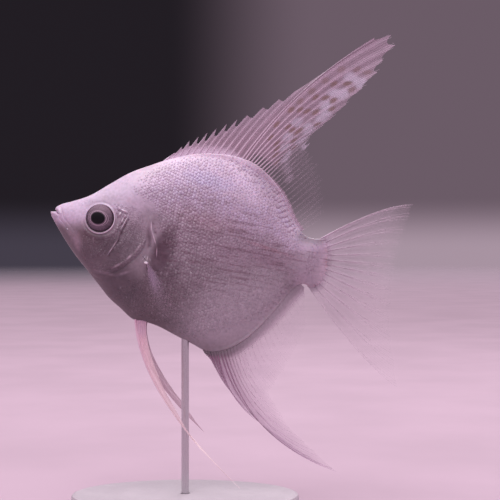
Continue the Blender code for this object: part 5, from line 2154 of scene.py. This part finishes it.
@dataclass
class Studio:
    """Floor, light and camera."""

    place: FishFrame
    lens: float = 85.0
    distance: float = 0.3425
    aim: tuple[float, float] = (0.0578, -0.0107)  # metres behind the snout tip, and above it
    floor_radius: float = 6.0

    def build(self) -> None:
        """Builds the studio."""
        self.camera()
        self.floor()
        self.world()
        self.light("key", (-0.1, -0.25, 0.85), (0.0, 0.0, 0.09), (0.5, 0.4), 3.2)
        self.light("rim", (0.15, 0.45, 0.6), (0.0, 0.0, 0.1), (0.4, 0.3), 1.2)
        view = bpy.context.scene.view_settings
        view.view_transform = "Standard"
        view.look = "None"

    def camera(self) -> None:
        """A level camera square to the fish's left side."""
        data = bpy.data.cameras.new("camera")
        data.lens, data.sensor_width = self.lens, 36.0
        data.clip_start, data.clip_end = 0.01, 50.0
        camera = bpy.data.objects.new("camera", data)
        x, y, z = self.place.origin
        camera.location = (x + self.aim[0], y - self.distance, z + self.aim[1])
        camera.rotation_euler = (math.pi / 2, 0, 0)
        bpy.context.scene.collection.objects.link(camera)
        bpy.context.scene.camera = camera

    def floor(self) -> None:
        """A wide pale floor that dims far away."""
        turn = np.linspace(0, 2 * math.pi, 96, endpoint=False)
        rings = np.array((0.0001, 0.5, 1.5, 3.0, self.floor_radius))
        points = np.stack([rings[:, None] * np.cos(turn), rings[:, None] * np.sin(turn),
                           np.zeros((len(rings), len(turn)))], -1)
        floor = make_mesh("floor", points.reshape(-1, 3),
                          [grid_faces(len(rings), len(turn), wrap=True)[:, ::-1]])
        material, tree, shader = new_material("pale_floor", Roughness=0.8)
        point = tree.add("TexCoord").outputs["Object"]
        split = tree.add("SeparateXYZ", {0: point})
        reach = tree.vector("LENGTH", point)
        cloud = tree.remap(tree.noise(point, 14.0, 4.0), 0.3, 0.7, 0.95, 1.04)
        aside = tree.math("DIVIDE", split.outputs[0], tree.math("MAXIMUM", split.outputs[1], 0.3))
        far = tree.mix(tree.remap(aside, -0.07, 0.06), (0.11, 0.09, 0.12), (0.46, 0.35, 0.425))
        colour = tree.mix(tree.curve(tree.remap(reach, 1.0, 5.6), ((0, 0), (0.12, 0.2), (0.4, 0.7), (1, 1))),
                          (0.512, 0.362, 0.448), far)
        tree.feed(shader.inputs["Base Color"], tree.scaled(colour, cloud))
        tree.feed(shader.inputs["Alpha"], tree.remap(reach, 2.6, self.floor_radius - 0.1, 1.0, 0.0))
        floor.data.materials.append(material)

    def world(self) -> None:
        """Bright and soft overhead; behind the fish a plain backdrop, darker before its head."""
        world = bpy.data.worlds.new("studio")
        world.use_nodes = True
        bpy.context.scene.world = world
        tree = NodeTree(world.node_tree)
        split = tree.add("SeparateXYZ", {0: tree.add("TexCoord").outputs["Generated"]})
        x, y, up = split.outputs
        above = tree.ramp(tree.math("MULTIPLY_ADD", up, 0.5, 0.5), (
            (0.0, (0.25, 0.19, 0.235)), (0.5, (0.25, 0.19, 0.235)), (0.66, (0.45, 0.39, 0.44)),
            (0.85, (0.96, 0.9, 0.95)), (1.0, (1.0, 0.94, 0.99)),
        ))
        aside = tree.math("DIVIDE", x, tree.math("MAXIMUM", y, 0.01))
        low = tree.mix(tree.remap(aside, -0.07, 0.06), (0.05, 0.042, 0.06), (0.34, 0.255, 0.312))
        high = tree.mix(tree.remap(aside, -0.07, 0.06), (0.014, 0.011, 0.015), (0.128, 0.092, 0.118))
        back = tree.mix(tree.remap(up, 0.0, 0.045), low, high)
        behind = tree.times(tree.remap(y, 0.55, 0.85), tree.remap(up, 0.45, 0.28))
        colour = tree.mix(behind, above, back)
        background = world.node_tree.nodes["Background"]
        tree.feed(background.inputs["Color"], colour)
        background.inputs["Strength"].default_value = 1.15

    def light(self, name: str, at: Sequence[float], to: Sequence[float], size: tuple[float, float],
              power: float) -> None:
        """Hangs a soft box light.

        Args:
            name: its name.
            at: where it hangs.
            to: what it points at.
            size: its width and height.
            power: its power, in watts.
        """
        data = bpy.data.lights.new(name, "AREA")
        data.shape, data.size, data.size_y, data.energy = "RECTANGLE", *size, power
        data.color = (1.0, 0.95, 0.99)
        lamp = bpy.data.objects.new(name, data)
        lamp.location = at
        lamp.rotation_euler = (Vector(to) - Vector(at)).to_track_quat("-Z", "Y").to_euler()
        bpy.context.scene.collection.objects.link(lamp)


def main() -> None:
    """Builds the fish, its stand and the studio."""
    logging.basicConfig(level=logging.INFO, format="%(name)s: %(message)s")
    place = FishFrame.from_solids()
    Studio(place).build()
    effects = SharedEffects(place)
    body = Body(place, effects)
    body.build()
    wet = EyeFinish().make()
    for side in Side:
        Eye(place, side).build(wet)
    fins = Fins(place, effects)
    fins.dorsal()
    fins.anal()
    fins.tail()
    fins.pelvics()
    fins.pectorals(body.form)
    Stand(effects).build()


if __name__ == "__main__":
    main()
